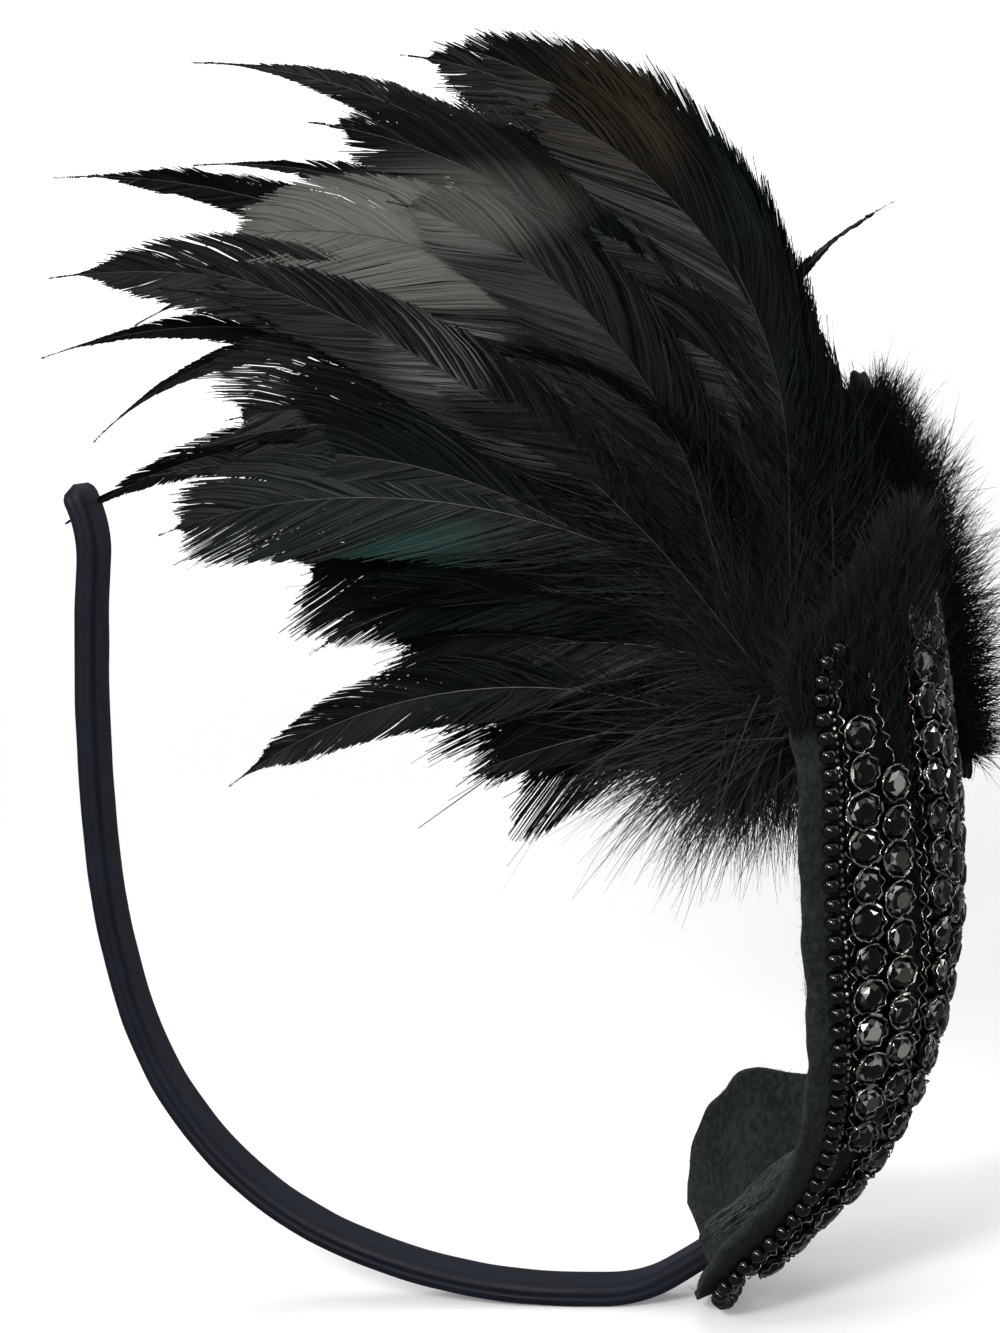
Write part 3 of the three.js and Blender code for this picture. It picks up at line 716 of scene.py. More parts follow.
class HeadbandPlumeSettings(bpy.types.PropertyGroup):
    vane: tint("Vane", "Colour of the feathers", (0.0024, 0.0028, 0.0028))
    # Also the colour of the vanes' painted sheen and pale glints.
    vane_pale_and_sheen: tint("Vane, pale", "Colour of the palest feathers", (0.105, 0.1, 0.09))
    vane_green: tint("Vane, green", "Colour of the green glints", (0.012, 0.05, 0.041))
    vane_brown: tint("Vane, brown", "Colour of the brown glint near the top", (0.025, 0.0175, 0.0105))
    down: tint("Down", "Colour of the down", (0.003, 0.0034, 0.0034))
    down_pale: tint("Down, pale", "Colour of the down's tips", (0.017, 0.02, 0.02))
    fringe_pale: tint("Fringe, pale", "Colour of the fringe's tips", (0.036, 0.041, 0.041))
    barb_step: span("Barb step", "Distance between barbs along a quill", 0.00029)
    companions: number("Companions", "Further feathers beside each one of the table, twice as many", 1)
    plume_down: number("Plume down", "Hairs of down in the plume", 15000)
    fringe_down: number("Fringe down", "Hairs of down below the plume's root", 3200)
    collar_down: number("Collar down", "Hairs of down over the ornament's top", 8000)
    puff_down: number("Puff down", "Hairs of down in the puff", 15000)


class HeadbandStageSettings(bpy.types.PropertyGroup):
    floor: tint("Floor", "Colour of the floor and backdrop", (0.9, 0.9, 0.9))
    floor_size: span("Floor size", "Width of the floor inside its raised edge", 5.0)


# Band

class HEADBAND_OT_band(bpy.types.Operator):
    """Covers the band with ribbon, with a seam along its near side"""
    bl_idname = "headband.band"
    bl_label = "Band"

    def execute(self, context):
        look = context.scene.headband_band
        start, end = -(BAND_LEFT_LENGTH + CROWN_FLAT / 2), BAND_RIGHT_LENGTH + CROWN_FLAT / 2

        def place(part, run):
            distance = start + (end - start) * run
            ring = band_section(part)
            to_end = np.minimum(distance - start, end - distance)
            size = np.sqrt(1 - np.clip(1 - to_end / BAND_END, 0, 1) ** 2)
            middle, out = band_at(distance)
            outward = unit(np.stack([ring[:, 0] / BAND_DEPTH, ring[:, 1] / BAND_THICKNESS], axis=-1))
            near_side = ring[:, 0] < -BAND_DEPTH / 2 + 0.6
            groove = np.exp(-(((ring[:, 1] - 0.1 - 0.25 * np.sin(distance / 37)) / 0.3) ** 2)) * near_side
            pucker = ripple(np.stack([distance * 0.5, ring[:, 0], ring[:, 1]], axis=-1), 7, 3) * 0.06
            fold = 0.06 * np.tanh((ring[:, 1] - 0.1) * 3) * near_side
            grow = pucker + fold - look.seam_depth / MM * groove
            ring = (ring + outward * grow[:, None]) * size[:, None]
            points = middle + out * ring[:, 1:2]
            points[:, 1] += ring[:, 0]
            points[:, 2] = np.maximum(points[:, 2], 0)
            return points

        bm = mapped_grid(72, 360, place, (25, end - start))
        mesh = mesh_from(bm, "band_cover")
        finish = cloth_finish("cover_ribbon", look.cover, look.cover_worn)
        add_piece("band_cover", mesh, "band_cover", ["headband"], finish)
        return {"FINISHED"}


# Felt

class HEADBAND_OT_felt(bpy.types.Operator):
    """Makes the bent felt sheet, its ridge over the band and the loose fibres on both"""
    bl_idname = "headband.felt"
    bl_label = "Felt"

    def execute(self, context):
        look = context.scene.headband_ornament
        finish = felt_finish("pressed_felt", look.felt, look.felt_pale)

        def sheet_point(across_share, along):
            a, b = near_edge(along), far_edge(along)
            across = a + (b - a) * across_share
            flat = np.stack([along * ORNAMENT_LENGTH, across, 0 * along], axis=-1)
            across += ripple(flat, 9, 5) * 0.35 * (np.abs(across_share - 0.5) * 2) ** 4
            return on_ornament(along, across, ripple(flat, 16, 6) * 0.18)

        bm = mapped_grid(40, 130, sheet_point, (2 * ORNAMENT_HALF_WIDTH, ORNAMENT_LENGTH))
        area = sum(face.calc_area() for face in bm.faces)
        mesh = mesh_from(bm, "felt_sheet")
        sheet = add_piece("felt_sheet", mesh, "felt", ["felt_backing"], finish)
        wall = sheet.modifiers.new("Thickness", "SOLIDIFY")
        wall.thickness, wall.offset = FELT_THICKNESS * MM, 0
        self.ridge(finish)
        self.fuzz(finish, look.fuzz)
        return {"FINISHED"}

    def ridge(self, finish):
        end = BAND_RIGHT_LENGTH + CROWN_FLAT / 2 + 2 * FELT_THICKNESS - ORNAMENT_START
        top = BAND_THICKNESS / 2 + GAP + FELT_THICKNESS
        crest = BAND_DEPTH / 2 + GAP + FELT_THICKNESS / 2

        def place(part, run, lift=0.0):
            distance = RIDGE_START + (end - RIDGE_START) * run
            along = distance / ORNAMENT_LENGTH
            middle, out = band_at(ORNAMENT_START + distance)

            def inside(y, n):
                point = middle - out * n
                point[:, 1] += y
                return point

            anchors = np.stack([
                on_ornament(along, -RIDGE_HALF_WIDTH, -0.3), on_ornament(along, 0, -0.3),
                on_ornament(along, RIDGE_HALF_WIDTH, -0.3), inside(crest, top * 0.5),
                inside(crest * 0.7, top), inside(0, top * 1.08), inside(-crest * 0.7, top),
                inside(-crest, top * 0.5)])
            at = part * 8
            step = np.floor(at).astype(int)
            t = (at - step)[:, None]
            pick = np.arange(len(part))
            p = [anchors[(step + k) % 8, pick] for k in (-1, 0, 1, 2)]
            point = 0.5 * (2 * p[1] + (p[2] - p[0]) * t + (2 * p[0] - 5 * p[1] + 4 * p[2] - p[3]) * t**2
                           + (3 * p[1] - p[0] - 3 * p[2] + p[3]) * t**3)
            core = anchors.mean(axis=0)
            close = np.sqrt(1 - np.clip(1 - np.minimum(run, 1 - run) * 40, 0, 1) ** 2)[:, None]
            away = unit(point - core)
            folds = np.abs(ripple(np.stack([distance * 0.35, part * 40, 0 * part], axis=-1), 7, 8))
            lumps = ripple(point, 5, 9)
            open_side = np.sin(math.pi * np.clip(part * 8 / 6 - 0.34, 0, 1)) > 0
            shift = (folds * 0.7 + lumps * 0.35 - 0.35)[:, None] * open_side[:, None]
            return core + (point + away * (shift + lift) - core) * close

        bm = mapped_grid(56, 150, place, (45, end))
        add_piece("felt_ridge", mesh_from(bm, "felt_ridge"), "felt", ["felt_backing"], finish)
        self.strands(place, end - RIDGE_START)

    def strands(self, place, length):
        """Pale strands drawn out along the ridge."""
        look = bpy.context.scene.headband_ornament
        rng = np.random.default_rng(19)
        count, steps = look.strands, 12
        t = np.linspace(0, 1, steps)[None]
        run = rng.uniform(0.01, 0.75, (count, 1)) + rng.uniform(6, 30, (count, 1)) / length * t
        part = rng.uniform(0.62, 0.99, (count, 1)) + rng.normal(size=(count, 1)) * 0.05 * t
        part += 0.012 * np.sin(t * rng.uniform(2, 9, (count, 1)) + rng.uniform(0, 6, (count, 1)))
        lift = 0.1 + rng.uniform(0, 0.9, (count, 1)) * np.sin(math.pi * t)
        points = place(part.ravel() % 1, np.clip(run, 0, 0.97).ravel(), lift.reshape(-1, 1))
        lines = points.reshape(count, steps, 3)
        finish = felt_finish("felt_strands", look.strand, tuple(2.4 * c for c in look.strand[:3]) + (1,))
        add_hairs("felt_strands", lines, 0.13, 0.4, rng, "felt", "felt_backing", finish, mixed=False)

    def fuzz(self, finish, count):
        rng = np.random.default_rng(17)
        along, share = rng.uniform(0.01, 0.99, count), rng.random(count)
        rim = rng.random(count) < 0.45
        share = np.where(rim, np.where(rng.random(count) < 0.6, 0.0, 1.0), share)
        a, b = near_edge(along), far_edge(along)
        side = np.where(rim, rng.uniform(-1, 1, count), np.where(rng.random(count) < 0.75, -1.0, 1.0))
        bare = (share > 0.12) & (share < 0.88) & (side > 0)
        side = np.where(bare, -1.0, side)
        across = a + (b - a) * share
        foot, _, across_way, up = ornament_frame(along, across, side * FELT_THICKNESS / 2)
        spread = rng.normal(size=(count, 3)) * 0.7
        outward = np.where(rim, np.where(share < 0.5, -1.0, 1.0), 0)[:, None] * across_way
        aims = unit(up * side[:, None] * 0.5 + outward * 0.9 + spread)
        inward = (aims * up).sum(-1) * side < 0.05
        turned = unit(aims - 1.4 * up * ((aims * up).sum(-1))[:, None])
        aims = np.where((inward & ~rim)[:, None], turned, aims)
        lines = hairs(foot, aims, rng.uniform(0.4, 1.7, count), rng.normal(size=(count, 3)) * 0.4, 4)
        lines[..., 2] = np.maximum(lines[..., 2], 0.05)
        add_hairs("felt_fuzz", lines, 0.07, 0.4, rng, "felt", "felt_backing", finish, mixed=False)


# Stones and beads

def cut_stone():
    """A cut stone: table, two rows of facets, girdle and a blunt foot, as the hull of its corners."""
    bm = bmesh.new()
    rings = ((8, 1.55, 3.0, 0.5), (8, 2.35, 2.55, 0.0), (16, 2.95, 1.5, 0.25), (8, 1.4, 0.35, 0.0))
    for sides, radius, height, turn in rings:
        for k in range(sides):
            angle = (k + turn) * 2 * math.pi / sides
            bm.verts.new((radius * math.cos(angle), radius * math.sin(angle), height))
    hull = bmesh.ops.convex_hull(bm, input=bm.verts)
    bmesh.ops.delete(bm, geom=[v for v in hull["geom_interior"] if isinstance(v, bmesh.types.BMVert)],
                     context="VERTS")
    bmesh.ops.recalc_face_normals(bm, faces=bm.faces)
    return bm


def stone_cup():
    """A scalloped cup whose points fold over the stone."""
    bm = bmesh.new()
    bmesh.ops.create_circle(bm, cap_ends=False, segments=32, radius=2.6)
    edges = list(bm.edges)
    levels = ((3.15, 0.3, 0), (3.35, 1.1, 0.1), (3.32, 1.75, 0.45), (2.95, 2.15, 0.55), (2.8, 1.95, 0.5))
    for radius, height, scallop in levels:
        ring = bmesh.ops.extrude_edge_only(bm, edges=edges)["geom"]
        edges = [e for e in ring if isinstance(e, bmesh.types.BMEdge)
                 and all(v in ring for v in e.verts)]
        for vert in (v for v in ring if isinstance(v, bmesh.types.BMVert)):
            angle = math.atan2(vert.co.y, vert.co.x)
            wave = math.cos(8 * angle)
            reach = radius - 0.12 * scallop * (1 - wave)
            vert.co = Vector((reach * math.cos(angle), reach * math.sin(angle),
                              height + scallop * 0.7 * wave))
    bmesh.ops.recalc_face_normals(bm, faces=bm.faces)
    return bm


def cup_rim():
    """A fine wire that follows the cup's scallops."""
    bm = bmesh.new()
    steps, sides = 32, 4
    for k in range(steps):
        angle = k * 2 * math.pi / steps
        wave = math.cos(8 * angle)
        middle = Vector((3.3 + 0.18 * wave, 0, 2.15 + 0.34 * wave))
        ring = bmesh.ops.create_circle(bm, cap_ends=False, segments=sides, radius=0.2)["verts"]
        bmesh.ops.rotate(bm, verts=ring, cent=(0, 0, 0), matrix=Matrix.Rotation(math.pi / 2, 3, "X"))
        bmesh.ops.translate(bm, verts=ring, vec=middle)
        bmesh.ops.rotate(bm, verts=ring, cent=(0, 0, 0), matrix=Matrix.Rotation(angle, 3, "Z"))
    bm.verts.ensure_lookup_table()
    rings = [[bm.edges.get((bm.verts[k * sides + i], bm.verts[k * sides + (i + 1) % sides]))
              for i in range(sides)] for k in range(steps)]
    for k in range(steps):
        bmesh.ops.bridge_loops(bm, edges=rings[k] + rings[(k + 1) % steps])
    bmesh.ops.recalc_face_normals(bm, faces=bm.faces)
    return bm


def cup_claws():
    """Four flat claws laid along the cup's rim."""
    bm = bmesh.new()
    for k, (long, wide) in enumerate(((1.5, 0.55), (1.0, 0.45), (1.9, 0.6), (1.2, 0.4))):
        place = Matrix.Rotation(k * math.pi / 2 + 0.3 * (k % 2), 4, "Z") @ Matrix.Translation((3.3, 0, 2.45))
        turn = Matrix.Rotation(math.radians(35), 4, "Y") @ Matrix.Diagonal((wide, long, 0.25, 1))
        bmesh.ops.create_cube(bm, size=1, matrix=place @ turn)
    return bm


class Lobes:
    """The three lobes of stones: where each starts and ends, its edges, and its columns."""
    room = FELT_MARGIN + BEAD_DIAMETER + 4 * GAP

    @classmethod
    def near_limit(cls, along):
        return near_edge(along) + cls.room

    @classmethod
    def far_limit(cls, along):
        return far_edge(along) - cls.room

    @classmethod
    def split(cls, along):
        return CENTRE_HALF_WIDTH + 2 * GAP + LOBE_SPLIT * smoothstep(np.asarray(along, float), 0.62, 0.9)

    @classmethod
    def table(cls):
        def centre_near(a): return np.maximum(cls.near_limit(a), -CENTRE_HALF_WIDTH)
        def centre_far(a): return np.minimum(cls.far_limit(a), CENTRE_HALF_WIDTH)
        def near_inner(a): return -cls.split(a)
        middle = [lambda a, c=c: c * COLUMN_STEP + 0 * np.asarray(a) for c in (-1.5, -0.5, 0.5, 1.5)]
        near = [lambda a, c=c: cls.near_limit(a) + STONE_RADIUS + c * COLUMN_STEP for c in (0, 1)]
        far = [lambda a, c=c: cls.far_limit(a) - STONE_RADIUS - c * COLUMN_STEP for c in (0, 1)]
        return (("centre", 0.085, 0.97, centre_near, centre_far, middle, 0.8, 0.8),
                ("near_lobe", 0.3, 0.89, cls.near_limit, near_inner, near, 0.8, 0.1),
                ("far_lobe", 0.42, 0.89, cls.split, cls.far_limit, far, 0.1, 0.8))

    @staticmethod
    def sites(start, end, low, high, columns, low_room, high_room):
        """Places of the stones, as shares of the length and distances across."""
        pitch = STONE_PITCH / ORNAMENT_LENGTH
        found = []
        for index, column in enumerate(columns):
            along = start + pitch * (0.6 + index % 2 / 2)
            while along < end - pitch / 2:
                across = float(column(along))
                if low(along) + low_room * STONE_RADIUS < across < high(along) - high_room * STONE_RADIUS:
                    found.append((along, across))
                along += pitch
        return np.array(found)


class HEADBAND_OT_stones(bpy.types.Operator):
    """Sets the three lobes with cut stones in scalloped cups"""
    bl_idname = "headband.stones"
    bl_label = "Stones"

    def execute(self, context):
        look = context.scene.headband_ornament
        glass = stone_finish("cut_glass", look.stone, look.stone_glint)
        metal = metal_finish("cup_metal", look.cup, tuple(0.3 * c for c in look.cup[:3]) + (1,))
        wire = metal_finish("rim_wire", look.metal, look.metal_dark)
        rng = np.random.default_rng(29)
        for name, start, end, low, high, columns, *rooms in Lobes.table():
            sites = Lobes.sites(start, end, low, high, columns, *rooms)
            along, across = sites.T
            height = FELT_THICKNESS / 2 + STRIP_LIFT
            foot, ahead, side, up = ornament_frame(along, across, height)
            tilt = rng.normal(size=(len(sites), 3)) * 0.07
            up = unit(up + tilt)
            spin = rng.uniform(0, 2 * math.pi, len(sites))[:, None]
            right = unit(np.cross(up, ahead * np.cos(spin) + side * np.sin(spin)))
            frames = np.stack([right, np.cross(up, right), up], axis=-1)
            size = rng.uniform(0.97, 1.04, len(sites))
            # Painted reflections: stones low on the near lobe get more facets painted in the pale bronze-grey
            # of reflections.
            bronze = 0.2 * np.exp(-(((along - 0.45) / 0.09) ** 2)) * (across < -8)
            cast = rng.random(len(sites)) * 0.1 + bronze
            node = [f"{name}_stones"]
            size = size[:, None, None]
            gems = copies(f"{name}_gems", cut_stone(), foot, frames * size)
            self.tone_facets(gems, cast, rng)
            add_piece(f"{name}_gems", gems, "stones", node, glass)
            spins = np.einsum("nij,njk->nik", frames, self.turns(rng.uniform(0, 2 * math.pi, len(sites))))
            for part, pattern, turned, finish, smooth in (("cups", stone_cup(), frames, metal, True),
                                                          ("rims", cup_rim(), frames, wire, True),
                                                          ("claws", cup_claws(), spins, wire, False)):
                mesh = copies(f"{name}_{part}", pattern, foot - up * 0.1, turned * size, smooth)
                add_piece(f"{name}_{part}", mesh, "stones", node, finish)
            self.strip(name, start, end, low, high, metal, node)
        return {"FINISHED"}

    def turns(self, angles):
        """Frames turned round their third axis."""
        c, s, none = np.cos(angles), np.sin(angles), 0 * angles
        axes = ((c, s, none), (-s, c, none), (none, none, none + 1))
        return np.stack([np.stack(axis, -1) for axis in axes], -1)

    def tone_facets(self, mesh, cast, rng):
        """Gives each facet of each stone its own random value; facets with the highest values get painted
        reflections.
        """
        each = len(mesh.polygons) // len(cast)
        normals = np.round([face.normal[:] for face in mesh.polygons[:each]], 2)
        facet = np.unique(normals, axis=0, return_inverse=True)[1].ravel()
        tones = rng.random((len(cast), facet.max() + 1))[:, facet] + cast[:, None]
        attribute = mesh.attributes.new("cast", "FLOAT", "FACE")
        attribute.data.foreach_set("value", tones.astype(np.float32).ravel())

    def strip(self, name, start, end, low, high, metal, node):
        """Wire mesh between the cups, which hides the felt."""
        def place(part, run):
            along = start + (end - start) * run
            a, b = low(along), high(along)
            across = a + (b - a) * part
            flat = np.stack([along * ORNAMENT_LENGTH, across, 0 * along], axis=-1)
            return on_ornament(along, across,
                               FELT_THICKNESS / 2 + STRIP_LIFT + 0.35 + 0.25 * ripple(flat, 3, 31))

        rows = int((end - start) * ORNAMENT_LENGTH / 1.5)
        bm = mapped_grid(18, rows, place, (20, (end - start) * ORNAMENT_LENGTH))
        mesh = mesh_from(bm, f"{name}_strip")
        piece = add_piece(f"{name}_strip", mesh, "stones", node, metal)
        wall = piece.modifiers.new("Thickness", "SOLIDIFY")
        wall.thickness, wall.offset = 0.5 * MM, 1


def frames_along(line):
    """Frames whose third axis runs along a line."""
    ahead = unit(np.gradient(line, axis=0))
    side = unit(np.cross((0.1, 0.2, 1.0), ahead))
    return np.stack([side, np.cross(ahead, side), ahead], axis=-1)


class HEADBAND_OT_beads(bpy.types.Operator):
    """Strings the round beads along the ornament's edge and the tiny ones beside them"""
    bl_idname = "headband.beads"
    bl_label = "Beads"

    def execute(self, context):
        look = context.scene.headband_ornament
        rng = np.random.default_rng(41)
        glass = bead_finish("bead_glass", look.bead)
        metal = metal_finish("bead_metal", look.metal, look.metal_dark)
        size = look.bead_size / MM
        line = even_points(bead_path(), size * 1.01)
        line += rng.normal(size=line.shape) * 0.06
        line[:, 2] = np.maximum(line[:, 2], size / 2)
        bm = bmesh.new()
        bmesh.ops.create_uvsphere(bm, u_segments=16, v_segments=10, radius=size / 2)
        for vert in bm.verts:
            if abs(vert.co.z) > size * 0.46:
                vert.co.z *= 0.8
        frames = frames_along(line)
        mesh = copies("bead_string", bm, line, frames * rng.uniform(0.94, 1.0, len(line))[:, None, None],
                      smooth=True, cast=rng.random(len(line)))
        add_piece("bead_string", mesh, "beads", ["bead_edging"], glass)
        inner = even_points(bead_path(inset=2.2, height=FELT_THICKNESS / 2 + 1.5), 1.45)
        inner += rng.normal(size=inner.shape) * 0.12
        bm = bmesh.new()
        bmesh.ops.create_icosphere(bm, subdivisions=1, radius=0.55)
        mesh = copies("sparkle_chain", bm, inner, frames_along(inner))
        add_piece("sparkle_chain", mesh, "beads", ["bead_edging"], metal)
        self.wires(metal)
        return {"FINISHED"}

    def wires(self, metal):
        """Fine crimped wires along the lobes' edges."""
        rng = np.random.default_rng(43)
        parts = []
        for _, start, end, low, high, *_ in Lobes.table():
            along = np.linspace(start, end, 260)
            for edge, side in ((low, 1), (high, -1)):
                for level in (0.9, 2.1):
                    phase = rng.uniform(0, 6)
                    sway = np.sin(along * ORNAMENT_LENGTH * 1.9 + phase) * 0.5
                    lift = np.cos(along * ORNAMENT_LENGTH * 2.7 + phase) * 0.35
                    line = on_ornament(along, edge(along) + side * (0.5 + sway),
                                       FELT_THICKNESS / 2 + level + lift)
                    parts.append(tube(line, WIRE_RADIUS, 5))
        add_piece("lobe_wires", joined("lobe_wires", parts), "stones", ["centre_stones"], metal)


def tube(line, radius, sides, end_radius=None):
    """Corners and quads of a closed tube along a line."""
    ahead = unit(np.gradient(line, axis=0))
    side = unit(np.cross(ahead, (0.31, 0.94, 0.17)))
    over = np.cross(ahead, side)
    radii = np.linspace(radius, radius if end_radius is None else end_radius, len(line))[:, None, None]
    angle = np.arange(sides) * 2 * math.pi / sides
    ring = np.cos(angle)[None, :, None] * side[:, None] + np.sin(angle)[None, :, None] * over[:, None]
    points = (line[:, None] + radii * ring).reshape(-1, 3)
    row = np.arange(len(line) - 1)[:, None] * sides
    a, b = np.arange(sides)[None], (np.arange(sides)[None] + 1) % sides
    quads = np.stack([row + a, row + sides + a, row + sides + b, row + b], axis=-1).reshape(-1, 4)
    return points, quads


# Feathers and down

class Plume:
    """Bent feathers as columns of numbers, with their places and frames along the quill."""

    def __init__(self, companions):
        rng = np.random.default_rng(53)
        rows = [FEATHERS]
        for _ in range(2 * companions):
            more = FEATHERS.copy()
            more[:, 0] += rng.normal(size=len(more)) * 6
            more[:, 1] += rng.normal(size=len(more)) * 9
            more[:, 3] *= rng.uniform(0.62, 0.93, len(more))
            more[:, 4] *= rng.uniform(0.7, 1.15, len(more))
            more[:, 5] += rng.normal(size=len(more)) * 2.5
            more[:, 6] *= rng.uniform(0.05, 0.3, len(more))
            rows.append(np.delete(more, LONE_FEATHERS, axis=0))
        rows = np.concatenate(rows)
        rows[:, 5] = np.clip(rows[:, 5], -9, 10)
        for key, column in zip(FEATHER_COLUMNS, rows.T):
            setattr(self, key, column)
        self.count = len(rows)
        self.length = self.reach * FEATHER_LENGTH
        self.twist = np.radians(rng.normal(size=self.count) * 16)
        self.offset = rng.normal(size=(self.count, 3)) * (4.5, 2.2, 3.5)
        self.fray = rng.uniform(0.2, 1.0, self.count)

    def at(self, which, share):
        """Places and directions along the quill, across the vane and out of it, at shares of feathers."""
        length, straight = self.length[which][:, None], self.straight[which][:, None]
        used = np.maximum(share - straight, 0) * length
        angle = np.radians(self.turn[which])[:, None] * used / ((1 - straight) * length)
        chord = used * np.sinc(angle / 2 / np.pi)
        x = np.minimum(share, straight) * length + chord * np.cos(angle / 2)
        z = chord * np.sin(angle / 2)
        rise = np.radians(self.rise[which])[:, None]
        lean = np.radians(self.lean[which])[:, None]
        place = np.stack([x * np.cos(rise) - z * np.sin(rise), length * share * np.sin(lean),
                          x * np.sin(rise) + z * np.cos(rise)], axis=-1) + PLUME_ROOT
        fade = np.clip(1 - share, 0, 1)[..., None] ** 1.5
        place = place + self.offset[which][:, None] * fade
        heading = rise + angle
        ahead = unit(np.stack([np.cos(heading), np.sin(lean) + 0 * heading, np.sin(heading)], axis=-1))
        across = np.stack([-np.sin(heading), 0 * heading, np.cos(heading)], axis=-1)
        out = np.cross(ahead, across)
        twist = (self.twist[which][:, None] * (0.4 + share))[..., None]
        return (place, ahead, across * np.cos(twist) + out * np.sin(twist),
                out * np.cos(twist) - across * np.sin(twist))

    def half_width(self, which, share):
        share = np.clip(share, 0, 1)
        blunt = np.clip((self.breadth[which] - 0.6) / 0.5, 0, 1)
        size = 0.12 + 0.88 * np.sin(math.pi * (0.08 + 0.92 * share ** (0.95 + 0.4 * blunt))) ** 0.8
        return self.breadth[which] * FEATHER_WIDTH / 2 * size * 1.06 * (1 - share ** (6 + 3 * blunt))


def clear_of_ornament(points, rng):
    """Points of the plume that would pass through the felt or its ridge, moved to its hollow side."""
    flat = points.reshape(-1, 3).copy()
    close = np.flatnonzero(flat[:, 0] > 12)
    along, across, height, _ = from_ornament(flat[close])
    slack = rng.uniform(0, 0.8, len(close))
    inside = (across > near_edge(along) - 1.5) & (across < far_edge(along) + 1.5)
    hit = inside & (along > -0.01) & (along < 1.01) & (height > -FELT_ROOM)
    flat[close[hit]] = on_ornament(along[hit], across[hit], -FELT_ROOM - slack[hit])
    end = (BAND_RIGHT_LENGTH + CROWN_FLAT / 2 - ORNAMENT_START + 5) / ORNAMENT_LENGTH
    along, _, _, n = from_ornament(flat[close])
    ridge = ((np.abs(flat[close, 1]) < RIDGE_SIDE_ROOM) & (n > -RIDGE_INNER_ROOM) & (n < RIDGE_OUTER_ROOM)
             & (along > 0.02) & (along < end))
    place, out = band_at(ORNAMENT_START + along * ORNAMENT_LENGTH)
    flat[close[ridge]] -= out[ridge] * (n + RIDGE_INNER_ROOM + slack)[ridge][:, None]
    return flat.reshape(points.shape)


class HEADBAND_OT_feathers(bpy.types.Operator):
    """Grows the plume's feathers barb by barb, with their quills"""
    bl_idname = "headband.feathers"
    bl_label = "Feathers"

    def execute(self, context):
        look = context.scene.headband_plume
        rng = np.random.default_rng(61)
        plume = Plume(look.companions)
        vane = vane_finish("feather_vane", look.vane, look.vane_pale_and_sheen, look.vane_green, look.vane_brown)
        quill = quill_finish("feather_quill", (0.003, 0.003, 0.003, 1), (0.016, 0.015, 0.013, 1))
        order = np.argsort(plume.lean)
        for layer, chosen in zip(("near", "middle", "far"), np.array_split(order, 3)):
            parts = [self.barbs(plume, feather, side, look.barb_step / MM, rng)
                     for feather in chosen for side in (-1, 1)]
            lines, sides, widths, barb, shade, gloss = (np.concatenate(column) for column in zip(*parts))
            mesh = ribbons(f"feathers_{layer}", clear_of_ornament(lines, rng), sides, widths,
                           barb=barb, shade=shade, gloss=gloss)
            add_piece(f"feathers_{layer}", mesh, "feathers", ["feather_plume"], vane)
        self.quills(plume, rng, quill)
        return {"FINISHED"}

    def barbs(self, plume, feather, side, step, rng):
        """One side of a vane: barbs in clumps that part from each other at the edge."""
        start, run = VANE_START, VANE_END - VANE_START
        length = plume.length[feather]
        count = max(12, int(length * run / step))
        share = start + run * (np.arange(count) + rng.random(count) * 0.7) / count
        clump = np.cumsum(rng.random(count) < 1 / rng.uniform(12, 30))
        middle = np.array([share[clump == c].mean() if (clump == c).any() else 0
                           for c in range(clump[-1] + 1)])
        pull = rng.uniform(0, 0.12, len(middle)) + (rng.random(len(middle)) < 0.15) * 0.4 * plume.fray[feather]
        reach = 1 + rng.normal(size=len(middle)) * 0.04 * plume.fray[feather]
        lift = rng.normal(size=len(middle)) * 0.6 * plume.fray[feather]
        which = np.full(count, feather)
        soft = smoothstep(share, 0.48, start)
        half = (plume.half_width(which, share + 0.04) * reach[clump]
                * (1 + rng.normal(size=count) * (0.02 + 0.2 * soft)))
        angle = 15 + 17 * (1 - share) + rng.normal(size=count) * (1.2 + 9 * soft)
        angle = np.radians(np.clip(angle, 12, 60))
        t = np.linspace(0, 1, 4)[None]
        lateral = half[:, None] * (1 - (1 - t) ** 1.4)
        forward = (half / np.tan(angle))[:, None] * t
        shift = (middle[clump] - share)[:, None] * pull[clump][:, None] * t**2
        place, ahead, across, out = plume.at(which, share[:, None] + forward / length + shift)
        rise = (-0.10 * lateral**2 / max(2.0, half.max()) + lift[clump][:, None] * t**2
                + (rng.normal(size=count) * (0.15 + 2.5 * soft))[:, None] * t)
        lines = place + across * (side * lateral)[..., None] + out * rise[..., None]
        going = unit(np.gradient(lines, axis=1))
        tilt = np.radians(14) * side + rng.normal(size=count) * 0.22 + soft * rng.normal(size=count)
        tilt = tilt[:, None, None]
        flat = unit(np.cross(out, going))
        sides = flat * np.cos(tilt) + out * np.sin(tilt)
        widths = 0.42 * (1 - 0.6 * t**2) * rng.uniform(0.75, 1.2, (count, 1)) * (1 - 0.45 * soft[:, None])
        barb = 0.5 + 0.22 * rng.normal(size=count) + 0.16 * rng.normal(size=len(middle))[clump]
        barb = np.clip(barb, 0, 1)
        # Paleness from the table, faded towards the root and a little at the tip; on the palest feather it is a
        # painted sheen.
        tone = (plume.shade[feather] * (1 - 0.95 * smoothstep(share, 0.66, 0.5))
                * (1 - 0.35 * smoothstep(share, 0.85, 1)))
        return lines, sides, widths, barb, tone, np.full(count, plume.gloss[feather])

    def quills(self, plume, rng, finish):
        share = np.linspace(0.02, 0.97, 26)[None]
        parts = []
        for feather in range(plume.count):
            line = clear_of_ornament(plume.at(np.array([feather]), share)[0], rng)[0]
            parts.append(tube(line, QUILL_RADIUS, 5, QUILL_TIP_RADIUS))
        add_piece("feather_quills", joined("feather_quills", parts), "feathers", ["feather_plume"], finish)


